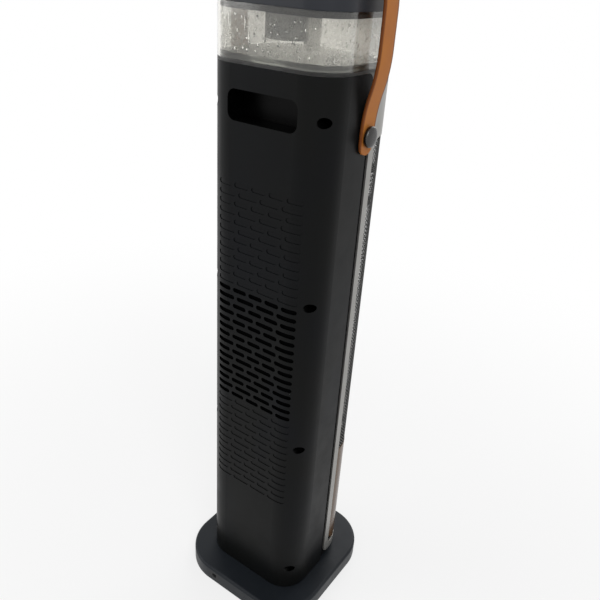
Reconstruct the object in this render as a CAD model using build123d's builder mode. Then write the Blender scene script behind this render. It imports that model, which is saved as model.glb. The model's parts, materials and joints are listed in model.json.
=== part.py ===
from build123d import *
import math
import os

os.makedirs("parts", exist_ok=True)

# Axes: origin on the floor under the middle of the stand, front towards -Y, up is +Z.
# All sizes are in millimetres.

# Stand
base_width = 206.0
base_corner_r = 60.0
base_top = 24.0
base_wall = 2.4
base_roof = 3.0
base_edge_r = 4.0
base_cover_t = 2.0
foot_height = 2.0
foot_r = 8.0
foot_spacing = 142.0
base_boss_spacing = 108.0
base_boss_r = 4.5
ballast_r = 66.0
ballast_bore_r = 36.0
ballast_t = 7.0
cord_inlet_x = 32.0
cord_inlet_width = 18.0
cord_inlet_height = 12.0
cord_inlet_r = 3.0
cord_inlet_depth = 8.0
cord_hole_r = 3.7
gland_flange = 1.5
gland_flange_t = 3.0
foot_edge = 0.5

# Swivel between stand and tower
pivot_r = 22.0
pivot_height = 12.0
wire_bore_r = 15.0
slide_ring_t = 1.0
slide_ring_r = 40.0
collar_wall = 4.0
swing_gear_teeth = 48
gear_addendum = 0.7
gear_dedendum = 1.25
swing_pinion_teeth = 12
pinion_addendum = 1.0
pinion_dedendum = 1.0
tooth_module = 1.25
pressure_angle = 20.0
gear_t = 5.0
tooth_thinning = 0.12
tooth_root_sink = 0.5
swing_motor_r = 23.0
swing_motor_height = 16.0
swing_shaft_r = 2.5
swing_shaft_reach = 9.0
motor_lift = 3.0
motor_ear_reach = 6.0
motor_ear_t = 2.0
motor_post_r = 4.0

# Tower plan outline
body_width = 153.0
body_rear = 70.5
body_front = -70.5
rear_corner_r = 36.0
front_corner_r = 45.0

# Rear cover
cover_height = 680.0
cover_wall = 2.6
cover_front_edge = -6.0
cover_top_r = 10.0
cover_low_r = 4.0
well_x = 65.9
well_r = 5.25
well_wall = 1.5
well_floor_y = 14.0
well_floor_t = 3.0
well_levels = (36.0, 246.0, 443.0, 639.0)
filter_t = 3.0
filter_margin = 6.0
filter_gap = 1.6

# Air slots of the rear cover
slot_height = 5.4
slot_row_pitch = 10.3
short_slot = 19.2
short_slot_pitch = 22.8
short_slots_in_row = 5
long_slot = 24.9
long_slot_pitch = 28.5
long_slots_in_row = 4
vent_top = 436.0
open_rows = 15
blind_rows_above = 12
blind_rows_below = 13
blind_depth = 0.7

# Handle recess
handle_width = 86.0
handle_height = 31.0
handle_corner_r = 9.0
handle_depth = 27.0
handle_drop = 39.0
cup_wall = 2.0
cup_flange = 3.0
cup_flange_t = 1.5

# Silver front frame, mesh grille and glossy lower panel
frame_wall = 2.8
frame_rear_edge = -13.0
frame_side_width = 10.0
frame_lift = 8.0
frame_low_r = 10.0
sill_height = 13.0
opening_low_r = 20.0
opening_top_r = 12.0
top_band_height = 53.0
lower_panel_height = 177.0
lower_panel_wall = 2.4
lower_panel_inset = 0.3
grille_wall = 1.6
grille_inset = 0.6
grille_border = 12.0
grille_rib_width = 3.0
slit_height = 6.6
slit_pitch = 9.0
slit_columns = 5

# Chassis
rail_t = 3.0
rail_rear = 13.7
rail_front = -22.0
post_r = 5.0
post_length = 24.0
floor_t = 3.0
deck_t = 3.0
foot_tab = 12.0
tab_screw_ys = (-14.0, 6.0)
top_deck_t = 4.7
arm_depth = 16.0
arm_height = 10.0
arm_setback = 20.0
knob_boss_r = 6.0
knob_boss_length = 14.0

# Blower
blower_level = 207.0
blower_length = 368.0
wheel_y = 20.0
wheel_r = 29.0
blade_depth = 5.5
blade_t = 1.0
blade_bow = 0.6
blade_lean = 2.4
blade_tip_gap = 1.0
ring_overlap = 1.0
blade_count = 24
wheel_disc_t = 2.0
wheel_rings = 3
wheel_end_gap = 5.0
shaft_r = 3.0
duct_wall = 1.8
duct_mouth_half = 50.0
scroll_start_x = 28.6
scroll_start_y = 16.5
scroll_mid_x = 38.4
scroll_mid_y = -6.8
tongue_drop = 6.0
tongue_rise = 16.0
fan_motor_r = 26.0
fan_motor_height = 44.0
fan_motor_edge_r = 3.0
fan_shaft_reach = 28.0
duct_overhang = 2.0
duct_mouth_depth = 12.0
bearing_r = 8.0
bearing_flange = 3.0
bearing_flange_t = 1.5
shaft_stub = 4.0
shaft_hole_gap = 2.0

# Heater
heater_width = 108.0
heater_depth = 16.0
heater_border = 6.0
heater_end_margin = 8.0
heater_fin_pitch = 10.0
heater_fin_t = 0.8
heater_bar_t = 5.0
heater_bar_depth = 10.0
heater_fin_depth = 13.0
heater_bars = 4
cutout_r = 8.0
cutout_t = 5.0
cutout_plate_t = 1.0

# Circuit boards
board_t = 1.6
power_board_width = 90.0
power_board_height = 150.0
power_board_y = -34.0
control_board_width = 90.0
control_board_depth = 38.0
board_lift = 1.0
board_rib_wall = 2.0
board_rib_depth = 6.0
board_parts_height = 15.0
relay_place = (-24.0, 45.0)
relay_size = (28.0, 20.0)
choke_place = (22.0, 60.0)
choke_r = 12.0
capacitor_places = ((-22.0, 110.0), (14.0, 110.0))
capacitor_r = 8.0
board_post_r = 2.5
board_post_inset = 4.0
switch_width = 6.0
switch_height = 3.2

# Tip-over switch
tip_switch_x = -50.0
tip_switch_y = -18.0
tip_switch_width = 16.0
tip_switch_depth = 22.0
tip_switch_height = 15.0
tip_plunger_r = 5.0
tip_plunger_height = 4.0

# Tank, cap and fittings
tank_height = 54.0
tank_wall = 2.5
tank_floor_t = 3.0
tank_skirt = 13.0
tank_skirt_edge = cover_front_edge
atomizer_y = -8.0
atomizer_r = 14.0
atomizer_drop = 8.0
atomizer_rim = 1.0
atomizer_lip = 4.0
atomizer_flange = 4.0
atomizer_flange_t = 3.0
mist_tube_r = 9.0
mist_tube_wall = 1.5
mist_tube_lift = 8.0
neck_y = 34.0
neck_r = 21.0
neck_wall = 2.0
neck_drop = 30.0
neck_flange = 3.0
neck_flange_t = 2.0
outlet_rim = 3.0
outlet_rim_t = 1.5
cap_height = 36.0
cap_wall = 2.6
cap_roof = 3.0
cap_edge_r = 6.0
cap_floor_t = 2.5
cap_rim_depth = 6.0
cap_rim_wall = 2.0
seal_t = 1.0
seal_height = 3.0
seal_setback = 1.0
flap_width = 52.0
flap_depth = 47.0
flap_t = 2.5
flap_corner_r = 8.0
hinge_barrel_r = 2.4
hinge_pin_r = 1.0
hinge_barrel_length = 30.0
hinge_ear_t = 4.0
hinge_ear_root = 1.0
button_names = ("power_button", "heat_button", "swing_button", "mist_button")
button_pitch = 20.0
button_y = -44.0
button_r = 6.0
button_proud = 1.2
button_flange = 1.5
button_lip = 1.5
button_travel = 1.0

# Carry strap and its studs
knob_drop = 60.0
knob_y = -0.5
knob_r = 10.75
knob_t = 5.8
knob_standoff = 1.1
knob_edge_r = 2.0
knob_back_edge = 0.6
stud_r = 3.0
washer_r = 9.0
washer_t = 0.6
strap_width = 26.0
strap_t = 3.0
strap_tail = 19.0
strap_flat = 2.5
strap_rise = 80.0
strap_bow = 10.7
strap_straight = 33.5
strap_end_r = 12.5

# Fasteners
screw_r = 1.5
screw_head_r = 3.0
screw_head_t = 2.2
screw_spare = 1.0
base_head_t = 1.5
base_screw_length = 9.0
gear_screw_reach = 7.0
gear_screw_count = 3
chassis_screw_setback = 0.5
cover_screw_reach = 12.0
soft_edge_r = 0.8

# Clearances
seam = 0.3
running_gap = 0.06
screw_gap = 0.05
button_gap = 0.25
wheel_gap = 1.8
lift_gap = 0.3
corner_window = 0.01

# Levels and places worked out from the sizes above
body_half = body_width / 2
base_half = base_width / 2
tower_low = base_top + slide_ring_t
floor_top = tower_low + floor_t
cover_top = tower_low + cover_height
tank_top = cover_top + tank_height
cap_top = tank_top + cap_height
pivot_top = base_top + pivot_height
collar_top = pivot_top - lift_gap
gear_top = pivot_top + gear_t
chassis_inset = frame_wall + seam
chassis_half = body_half - chassis_inset
deck_low = tower_low + blower_level
deck_high = deck_low + blower_length
top_deck_top = cover_top - seam
frame_low = tower_low + frame_lift
frame_top = cover_top - tank_skirt - seam
opening_low = frame_low + sill_height
opening_top = frame_top - top_band_height
opening_edge = frame_rear_edge - frame_side_width
panel_top = opening_low + lower_panel_height
handle_level = cover_top - handle_drop
knob_level = cover_top - knob_drop
swing_pitch_r = tooth_module * swing_gear_teeth / 2
swing_centres = tooth_module * (swing_gear_teeth + swing_pinion_teeth) / 2
cap_underside = cap_top - cap_roof
knob_point = [(knob_y, knob_level)]
gear_screw_circle = ((pivot_r + wire_bore_r) / 2, gear_screw_count)
far = 200.0


def tower_outline(plane, inset):
    """Plan outline of the tower, drawn in all round by inset."""
    with BuildSketch(plane) as outline:
        with Locations((0, (body_rear + body_front) / 2)):
            Rectangle(body_width - 2 * inset, body_rear - body_front - 2 * inset)
        fillet(outline.vertices().group_by(Axis.Y)[-1], rear_corner_r - inset)
        fillet(outline.vertices().group_by(Axis.Y)[0], front_corner_r - inset)
    return outline.sketch


def tower_prism(low, high, inset):
    """Solid of the tower's plan outline between two heights."""
    with BuildPart() as prism:
        add(tower_outline(Plane.XY.offset(low), inset))
        extrude(amount=high - low)
    return prism.part


def tower_wall(low, high, inset, wall):
    """Closed wall that follows the tower's plan outline between two heights."""
    with BuildPart() as shell:
        add(tower_outline(Plane.XY.offset(low), inset))
        extrude(amount=high - low)
        add(tower_outline(Plane.XY.offset(low), inset + wall))
        extrude(amount=high - low, mode=Mode.SUBTRACT)
    return shell.part


def side_block(edge, reach, low, high, low_r, high_r):
    """Block right through the tower in X, seen from the side, with two rounded corners at its edge."""
    with BuildPart() as block:
        with BuildSketch(Plane.YZ) as view:
            with Locations(((edge + reach) / 2, (low + high) / 2)):
                Rectangle(abs(reach - edge), high - low)
            corners = view.vertices().filter_by_position(Axis.X, edge - corner_window, edge + corner_window)
            low_corner = corners.sort_by(Axis.Y)[0]
            high_corner = corners.sort_by(Axis.Y)[-1]
            if high_r > 0:
                fillet(high_corner, high_r)
            if low_r > 0:
                fillet(low_corner, low_r)
        extrude(amount=far, both=True)
    return block.part


def stand_outline(plane, inset):
    """Plan outline of the stand, a square with large round corners, drawn in by inset."""
    with BuildSketch(plane) as outline:
        RectangleRounded(base_width - 2 * inset, base_width - 2 * inset, base_corner_r - inset)
    return outline.sketch


def rod_along_z(x, y, low, high, radius):
    """Upright round rod."""
    with BuildPart() as rod:
        with BuildSketch(Plane.XY.offset(low)):
            with Locations((x, y)):
                Circle(radius)
        extrude(amount=high - low)
    return rod.part


def rods_along_y(points, start, end, radius):
    """Round rods along Y, from start to end, at points of (x, z)."""
    with BuildPart() as rods:
        with BuildSketch(Plane.XZ.offset(-start)):
            with Locations(points):
                Circle(radius)
        extrude(amount=start - end)
    return rods.part


def rods_along_x(points, start, end, radius):
    """Round rods along X, from start to end, at points of (y, z)."""
    with BuildPart() as rods:
        with BuildSketch(Plane.YZ.offset(start)):
            with Locations(points):
                Circle(radius)
        extrude(amount=end - start)
    return rods.part


def gear_profile(teeth, tip_r, root_r, bore_r, first_angle):
    """Spur gear profile, each flank an arc through three points of its involute."""
    pitch_r = tooth_module * teeth / 2
    foot_circle = pitch_r * math.cos(math.radians(pressure_angle))

    def involute(radius):
        slope = math.acos(foot_circle / radius)
        return math.tan(slope) - slope

    def flank_point(radius, side):
        half_tooth = math.pi / (2 * teeth) - tooth_thinning / (2 * pitch_r)
        angle = half_tooth + involute(pitch_r) - involute(max(radius, foot_circle))
        return (radius * math.cos(side * angle), radius * math.sin(side * angle))

    start_r = max(root_r, foot_circle)
    inner_r = root_r - tooth_root_sink
    middle_r = (start_r + tip_r) / 2
    with BuildSketch() as tooth:
        with BuildLine():
            Line(flank_point(inner_r, -1), flank_point(start_r, -1))
            ThreePointArc(flank_point(start_r, -1), flank_point(middle_r, -1), flank_point(tip_r, -1))
            ThreePointArc(flank_point(tip_r, -1), (tip_r, 0), flank_point(tip_r, 1))
            ThreePointArc(flank_point(tip_r, 1), flank_point(middle_r, 1), flank_point(start_r, 1))
            Line(flank_point(start_r, 1), flank_point(inner_r, 1))
            Line(flank_point(inner_r, 1), flank_point(inner_r, -1))
        make_face()
    with BuildSketch() as profile:
        Circle(root_r)
        with PolarLocations(0, teeth, start_angle=first_angle):
            add(tooth.sketch)
        if bore_r > 0:
            Circle(bore_r, mode=Mode.SUBTRACT)
    return profile.sketch


# Stand shell with the hollow pivot that the tower turns on
boss_grid = (base_boss_spacing, base_boss_spacing, 2, 2)
cover_face = foot_height + base_cover_t
with BuildPart() as base_shell:
    add(stand_outline(Plane.XY.offset(foot_height), 0))
    extrude(amount=base_top - foot_height)
    fillet(base_shell.faces().sort_by(Axis.Z)[-1].edges(), base_edge_r)
    add(stand_outline(Plane.XY.offset(foot_height), base_wall))
    extrude(amount=base_top - base_roof - foot_height, mode=Mode.SUBTRACT)
    with BuildSketch(Plane.XY.offset(cover_face)):
        with GridLocations(*boss_grid):
            Circle(base_boss_r)
    extrude(amount=base_top - base_roof - cover_face)
    with BuildSketch(Plane.XY.offset(base_top - base_roof)):
        Circle(pivot_r)
    extrude(amount=pivot_top - base_top + base_roof)
    with BuildSketch(Plane.XY.offset(base_top - base_roof)):
        Circle(wire_bore_r)
    extrude(amount=pivot_top - base_top + base_roof, mode=Mode.SUBTRACT)
    with BuildSketch(Plane.XY.offset(cover_face)):
        with GridLocations(*boss_grid):
            Circle(screw_r + screw_gap)
    extrude(amount=base_screw_length + screw_spare - base_cover_t, mode=Mode.SUBTRACT)
    with BuildSketch(Plane.XY.offset(pivot_top - gear_screw_reach - screw_spare)):
        with PolarLocations(*gear_screw_circle):
            Circle(screw_r + screw_gap)
    extrude(amount=gear_screw_reach + screw_spare, mode=Mode.SUBTRACT)
    with BuildSketch(Plane.XZ.offset(-(base_half - cord_inlet_depth))):
        with Locations((cord_inlet_x, (base_top + foot_height) / 2)):
            RectangleRounded(cord_inlet_width, cord_inlet_height, cord_inlet_r)
    extrude(amount=-2 * cord_inlet_depth, mode=Mode.SUBTRACT)
base_shell.part.label = "base_shell"
export_step(base_shell.part, "parts/base_shell.step")

# Plate that closes the stand from below
with BuildPart() as base_bottom_cover:
    add(stand_outline(Plane.XY.offset(foot_height), base_wall + seam))
    extrude(amount=base_cover_t)
    with BuildSketch(Plane.XY.offset(foot_height)):
        with GridLocations(*boss_grid):
            Circle(screw_r + screw_gap)
    extrude(amount=base_cover_t, mode=Mode.SUBTRACT)
base_bottom_cover.part.label = "base_bottom_cover"
export_step(base_bottom_cover.part, "parts/base_bottom_cover.step")

# Steel ballast ring that keeps the tower from tipping
with BuildPart() as base_ballast:
    with BuildSketch(Plane.XY.offset(cover_face)):
        Circle(ballast_r)
        Circle(ballast_bore_r, mode=Mode.SUBTRACT)
    extrude(amount=ballast_t)
base_ballast.part.label = "base_ballast"
export_step(base_ballast.part, "parts/base_ballast.step")

# Four rubber feet
with BuildPart() as rubber_feet:
    with BuildSketch():
        with GridLocations(foot_spacing, foot_spacing, 2, 2):
            Circle(foot_r)
    extrude(amount=foot_height)
    chamfer(rubber_feet.faces().group_by(Axis.Z)[0].edges(), foot_edge)
rubber_feet.part.label = "rubber_feet"
export_step(rubber_feet.part, "parts/rubber_feet.step")

# Screws of the bottom plate
with BuildPart() as base_screws:
    with BuildSketch(Plane.XY.offset(foot_height - base_head_t)):
        with GridLocations(*boss_grid):
            Circle(screw_head_r)
    extrude(amount=base_head_t)
    with BuildSketch(Plane.XY.offset(foot_height)):
        with GridLocations(*boss_grid):
            Circle(screw_r)
    extrude(amount=base_screw_length)
base_screws.part.label = "base_screws"
export_step(base_screws.part, "parts/base_screws.step")

# Rubber gland in the stand's rear wall
gland_level = (base_top + foot_height) / 2
with BuildPart() as cord_gland:
    with BuildSketch(Plane.XZ.offset(-base_half)):
        with Locations((cord_inlet_x, gland_level)):
            RectangleRounded(
                cord_inlet_width - 2 * screw_gap,
                cord_inlet_height - 2 * screw_gap,
                cord_inlet_r - screw_gap,
            )
    extrude(amount=base_wall)
    with BuildSketch(Plane.XZ.offset(-(base_half - base_wall))):
        with Locations((cord_inlet_x, gland_level)):
            RectangleRounded(
                cord_inlet_width + 2 * gland_flange,
                cord_inlet_height + 2 * gland_flange,
                cord_inlet_r + gland_flange,
            )
    extrude(amount=gland_flange_t)
    with BuildSketch(Plane.XZ.offset(-base_half)):
        with Locations((cord_inlet_x, gland_level)):
            Circle(cord_hole_r)
    extrude(amount=base_wall + gland_flange_t, mode=Mode.SUBTRACT)
cord_gland.part.label = "cord_gland"
export_step(cord_gland.part, "parts/cord_gland.step")

# Low-friction ring between stand and tower
with BuildPart() as slide_ring:
    with BuildSketch(Plane.XY.offset(base_top)):
        Circle(slide_ring_r)
        Circle(pivot_r + 2 * seam, mode=Mode.SUBTRACT)
    extrude(amount=slide_ring_t)
slide_ring.part.label = "slide_ring"
export_step(slide_ring.part, "parts/slide_ring.step")

# Fixed gear on the pivot, which also keeps the tower's collar down
with BuildPart() as swing_gear:
    with BuildSketch(Plane.XY.offset(pivot_top)):
        add(
            gear_profile(
                swing_gear_teeth,
                swing_pitch_r + gear_addendum * tooth_module,
                swing_pitch_r - gear_dedendum * tooth_module,
                wire_bore_r,
                0,
            )
        )
        with PolarLocations(*gear_screw_circle):
            Circle(screw_r + screw_gap, mode=Mode.SUBTRACT)
    extrude(amount=gear_t)
swing_gear.part.label = "swing_gear"
export_step(swing_gear.part, "parts/swing_gear.step")

# Screws of the fixed gear
with BuildPart() as gear_screws:
    with BuildSketch(Plane.XY.offset(pivot_top - gear_screw_reach)):
        with PolarLocations(*gear_screw_circle):
            Circle(screw_r)
    extrude(amount=gear_screw_reach + gear_t)
    with BuildSketch(Plane.XY.offset(gear_top)):
        with PolarLocations(*gear_screw_circle):
            Circle(screw_head_r)
    extrude(amount=screw_head_t)
gear_screws.part.label = "gear_screws"
export_step(gear_screws.part, "parts/gear_screws.step")

# Tower floor with the collar that turns on the pivot
motor_seat = gear_top + motor_lift
motor_ear_x = swing_motor_r + motor_ear_reach
tab_x = chassis_half - rail_t - foot_tab / 2
tab_screws = [(side * tab_x, y) for side in (-1, 1) for y in tab_screw_ys]
with BuildPart() as tower_floor:
    add(tower_outline(Plane.XY.offset(tower_low), chassis_inset))
    extrude(amount=floor_t)
    with BuildSketch(Plane.XY.offset(tower_low)):
        Circle(pivot_r + running_gap + collar_wall)
    extrude(amount=collar_top - tower_low)
    with BuildSketch(Plane.XY.offset(floor_top)):
        with Locations((motor_ear_x, swing_centres), (-motor_ear_x, swing_centres)):
            Circle(motor_post_r)
    extrude(amount=motor_seat - floor_top)
    with BuildSketch(Plane.XY.offset(floor_top)):
        with Locations((0, power_board_y)):
            Rectangle(power_board_width, board_t + 2 * board_rib_wall)
    extrude(amount=board_rib_depth)
    with BuildSketch(Plane.XY.offset(tower_low)):
        Circle(pivot_r + running_gap)
    extrude(amount=collar_top - tower_low, mode=Mode.SUBTRACT)
    with BuildSketch(Plane.XY.offset(floor_top + board_lift)):
        with Locations((0, power_board_y)):
            Rectangle(power_board_width + 2 * seam, board_t + 2 * screw_gap)
    extrude(amount=board_rib_depth, mode=Mode.SUBTRACT)
    with BuildSketch(Plane.XY.offset(tower_low)):
        with Locations(tab_screws):
            Circle(screw_r + screw_gap)
    extrude(amount=floor_t, mode=Mode.SUBTRACT)
tower_floor.part.label = "tower_floor"
export_step(tower_floor.part, "parts/tower_floor.step")

# Chassis: two side rails, three decks, posts for the cover screws and arms for the heater
heater_low = deck_low + heater_end_margin
heater_high = deck_high - heater_end_margin
heater_rear = rail_front - duct_overhang - seam
heater_front = heater_rear - heater_depth
rail_mid_y = (rail_rear + rail_front) / 2
rail_depth = rail_rear - rail_front
arm_outer = chassis_half - rail_t / 2
arm_length = arm_outer - heater_width / 2 - seam
arm_x = arm_outer - arm_length / 2
arm_y = rail_front - arm_depth / 2 + rail_t / 2
well_points = [(side * well_x, tower_low + level) for side in (-1, 1) for level in well_levels]
with BuildPart() as tower_chassis:
    with BuildSketch(Plane.XY.offset(floor_top)):
        with Locations((chassis_half - rail_t / 2, rail_mid_y), (-chassis_half + rail_t / 2, rail_mid_y)):
            Rectangle(rail_t, rail_depth)
    extrude(amount=top_deck_top - floor_top)
    with BuildSketch(Plane.XY.offset(floor_top)):
        with Locations((tab_x, rail_mid_y), (-tab_x, rail_mid_y)):
            Rectangle(foot_tab, rail_depth)
    extrude(amount=deck_t)
    for level, thickness in (
        (deck_low - deck_t, deck_t),
        (deck_high, deck_t),
        (top_deck_top - top_deck_t, top_deck_t),
    ):
        add(tower_outline(Plane.XY.offset(level), chassis_inset))
        extrude(amount=thickness)
    add(rods_along_y(well_points, rail_rear - post_length, rail_rear, post_r))
    for low in (heater_low + arm_setback, heater_high - arm_setback - arm_height):
        with BuildSketch(Plane.XY.offset(low)):
            with Locations((arm_x, arm_y), (-arm_x, arm_y)):
                Rectangle(arm_length, arm_depth)
        extrude(amount=arm_height)
    add(rods_along_x(knob_point, -chassis_half, -chassis_half + knob_boss_length, knob_boss_r))
    add(rods_along_x(knob_point, chassis_half - knob_boss_length, chassis_half, knob_boss_r))
    add(rods_along_x(knob_point, -far, far, stud_r + screw_gap), mode=Mode.SUBTRACT)
    pilot_start = rail_rear - cover_screw_reach - screw_spare
    add(rods_along_y(well_points, pilot_start, rail_rear, screw_r + screw_gap), mode=Mode.SUBTRACT)
    add(
        rod_along_z(0, wheel_y, deck_low - deck_t, deck_low, shaft_r + shaft_hole_gap),
        mode=Mode.SUBTRACT,
    )
    add(rod_along_z(0, wheel_y, deck_high, deck_high + deck_t, bearing_r + screw_gap), mode=Mode.SUBTRACT)
    add(
        rod_along_z(0, atomizer_y, top_deck_top - top_deck_t, top_deck_top, atomizer_r + screw_gap),
        mode=Mode.SUBTRACT,
    )
    with BuildSketch(Plane.XY.offset(floor_top)):
        with Locations(tab_screws):
            Circle(screw_r + screw_gap)
    extrude(amount=deck_t, mode=Mode.SUBTRACT)
tower_chassis.part.label = "tower_chassis"
export_step(tower_chassis.part, "parts/tower_chassis.step")

# Screws that hold the chassis to the tower floor
with BuildPart() as chassis_screws:
    with BuildSketch(Plane.XY.offset(tower_low + chassis_screw_setback)):
        with Locations(tab_screws):
            Circle(screw_r)
    extrude(amount=floor_t + deck_t - chassis_screw_setback)
    with BuildSketch(Plane.XY.offset(floor_top + deck_t)):
        with Locations(tab_screws):
            Circle(screw_head_r)
    extrude(amount=screw_head_t)
chassis_screws.part.label = "chassis_screws"
export_step(chassis_screws.part, "parts/chassis_screws.step")

# Swing motor above the pinion, on two posts of the floor
with BuildPart() as swing_motor:
    with BuildSketch(Plane.XY.offset(motor_seat)):
        with Locations((0, swing_centres)):
            Circle(swing_motor_r)
    extrude(amount=swing_motor_height)
    with BuildSketch(Plane.XY.offset(motor_seat)):
        with Locations((0, swing_centres)):
            SlotOverall(2 * (motor_ear_x + motor_post_r), 2 * motor_post_r)
    extrude(amount=motor_ear_t)
    with BuildSketch(Plane.XY.offset(motor_seat)):
        with Locations((0, swing_centres)):
            Circle(swing_shaft_r + running_gap)
    extrude(amount=swing_shaft_reach + screw_spare, mode=Mode.SUBTRACT)
swing_motor.part.label = "swing_motor"
export_step(swing_motor.part, "parts/swing_motor.step")

# Pinion with its shaft, in mesh with the fixed gear behind the pivot
half_tooth_turn = 180.0 / swing_pinion_teeth
with BuildPart() as swing_pinion:
    with BuildSketch(Plane.XY.offset(pivot_top)):
        with Locations((0, swing_centres)):
            add(
                gear_profile(
                    swing_pinion_teeth,
                    tooth_module * (swing_pinion_teeth / 2 + pinion_addendum),
                    tooth_module * (swing_pinion_teeth / 2 - pinion_dedendum),
                    0,
                    half_tooth_turn,
                )
            )
    extrude(amount=gear_t)
    with BuildSketch(Plane.XY.offset(gear_top)):
        with Locations((0, swing_centres)):
            Circle(swing_shaft_r)
    extrude(amount=motor_lift + swing_shaft_reach)
swing_pinion.part.label = "swing_pinion"
export_step(swing_pinion.part, "parts/swing_pinion.step")

# Switch that cuts the current when the heater tips over
with BuildPart() as tip_switch:
    with BuildSketch(Plane.XY.offset(floor_top)):
        with Locations((tip_switch_x, tip_switch_y)):
            Rectangle(tip_switch_width, tip_switch_depth)
    extrude(amount=tip_switch_height)
    with BuildSketch(Plane.XY.offset(floor_top + tip_switch_height)):
        with Locations((tip_switch_x, tip_switch_y)):
            Circle(tip_plunger_r)
    extrude(amount=tip_plunger_height)
tip_switch.part.label = "tip_switch"
export_step(tip_switch.part, "parts/tip_switch.step")

# Power board standing in the floor's rib, with relay, choke and two capacitors
power_board_low = floor_top + board_lift
with BuildPart() as power_board:
    with BuildSketch(Plane.XY.offset(power_board_low)):
        with Locations((0, power_board_y)):
            Rectangle(power_board_width, board_t)
    extrude(amount=power_board_height)
    with BuildSketch(Plane.XZ.offset(-(power_board_y - board_t / 2))):
        with Locations((0, power_board_low)):
            with Locations(relay_place):
                Rectangle(*relay_size)
            with Locations(choke_place):
                Circle(choke_r)
            with Locations(capacitor_places):
                Circle(capacitor_r)
    extrude(amount=board_parts_height)
power_board.part.label = "power_board"
export_step(power_board.part, "parts/power_board.step")

# Rear cover: a U-shaped shell with handle cut-out, screw wells and rows of air slots
row_first = -blind_rows_above
row_last = open_rows + blind_rows_below


def draw_slots(rows):
    """Rows of round-ended slots in the open sketch: even rows are short slots, odd rows long ones."""
    for row in rows:
        with Locations((0, tower_low + vent_top - row * slot_row_pitch)):
            if row % 2 == 0:
                with GridLocations(short_slot_pitch, 1, short_slots_in_row, 1):
                    SlotOverall(short_slot, slot_height)
            else:
                with GridLocations(long_slot_pitch, 1, long_slots_in_row, 1):
                    SlotOverall(long_slot, slot_height)


cover_shape = side_block(cover_front_edge, far, tower_low, cover_top, cover_low_r, cover_top_r)
slot_start = body_rear - rear_corner_r / 3
blind = [row for row in range(row_first, row_last) if not 0 <= row < open_rows]
with BuildPart() as wells:
    add(rods_along_y(well_points, well_floor_y, body_rear, well_r + well_wall))
    add(tower_prism(tower_low, cover_top, cover_wall / 2), mode=Mode.INTERSECT)
with BuildPart() as rear_cover:
    add(tower_wall(tower_low, cover_top, 0, blind_depth))
    with BuildSketch(Plane.XZ.offset(-slot_start)):
        draw_slots(blind)
    extrude(amount=slot_start - far, mode=Mode.SUBTRACT)
    add(tower_wall(tower_low, cover_top, blind_depth, cover_wall - blind_depth))
    with BuildSketch(Plane.XZ.offset(-slot_start)):
        draw_slots(range(open_rows))
        with Locations((0, handle_level)):
            RectangleRounded(handle_width, handle_height, handle_corner_r)
    extrude(amount=slot_start - far, mode=Mode.SUBTRACT)
    add(wells.part)
    add(rods_along_y(well_points, well_floor_y + well_floor_t, far, well_r), mode=Mode.SUBTRACT)
    add(rods_along_y(well_points, well_floor_y, far, screw_r + 4 * screw_gap), mode=Mode.SUBTRACT)
    add(cover_shape, mode=Mode.INTERSECT)
    add(rods_along_x(knob_point, -far, far, stud_r + 2 * screw_gap), mode=Mode.SUBTRACT)
rear_cover.part.label = "rear_cover"
export_step(rear_cover.part, "parts/rear_cover.step")

# Screws deep in the wells of the rear cover
with BuildPart() as cover_screws:
    add(rods_along_y(well_points, rail_rear - cover_screw_reach, well_floor_y + well_floor_t, screw_r))
    add(
        rods_along_y(
            well_points,
            well_floor_y + well_floor_t,
            well_floor_y + well_floor_t + screw_head_t,
            screw_head_r,
        )
    )
cover_screws.part.label = "cover_screws"
export_step(cover_screws.part, "parts/cover_screws.step")

# Tub behind the handle cut-out
cup_rear = body_rear - cover_wall - seam
cup_floor = body_rear - handle_depth
with BuildPart() as handle_cup:
    with BuildSketch(Plane.XZ.offset(-cup_rear)):
        with Locations((0, handle_level)):
            RectangleRounded(
                handle_width + 2 * (cup_wall + cup_flange),
                handle_height + 2 * (cup_wall + cup_flange),
                handle_corner_r + cup_wall + cup_flange,
            )
    extrude(amount=cup_flange_t)
    with BuildSketch(Plane.XZ.offset(-cup_rear)):
        with Locations((0, handle_level)):
            RectangleRounded(
                handle_width + 2 * cup_wall,
                handle_height + 2 * cup_wall,
                handle_corner_r + cup_wall,
            )
    extrude(amount=cup_rear - cup_floor + cup_wall)
    with BuildSketch(Plane.XZ.offset(-cup_rear)):
        with Locations((0, handle_level)):
            RectangleRounded(handle_width, handle_height, handle_corner_r)
    extrude(amount=cup_rear - cup_floor, mode=Mode.SUBTRACT)
    add(
        tower_prism(handle_level - handle_height, handle_level + handle_height, cover_wall + seam),
        mode=Mode.INTERSECT,
    )
handle_cup.part.label = "handle_cup"
export_step(handle_cup.part, "parts/handle_cup.step")

# Dust filter that follows the inside of the cover behind the open slots
filter_top = tower_low + vent_top + slot_height / 2 + filter_margin
filter_low = tower_low + vent_top - (open_rows - 1) * slot_row_pitch - slot_height / 2 - filter_margin
filter_half = well_x - well_r - well_wall - filter_gap
with BuildPart() as inlet_filter:
    add(tower_wall(filter_low, filter_top, cover_wall + seam, filter_t))
    with BuildSketch(Plane.XY.offset(filter_low)):
        with Locations((0, body_rear)):
            Rectangle(2 * filter_half, rear_corner_r)
    extrude(amount=filter_top - filter_low, mode=Mode.INTERSECT)
inlet_filter.part.label = "inlet_filter"
export_step(inlet_filter.part, "parts/inlet_filter.step")

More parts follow.
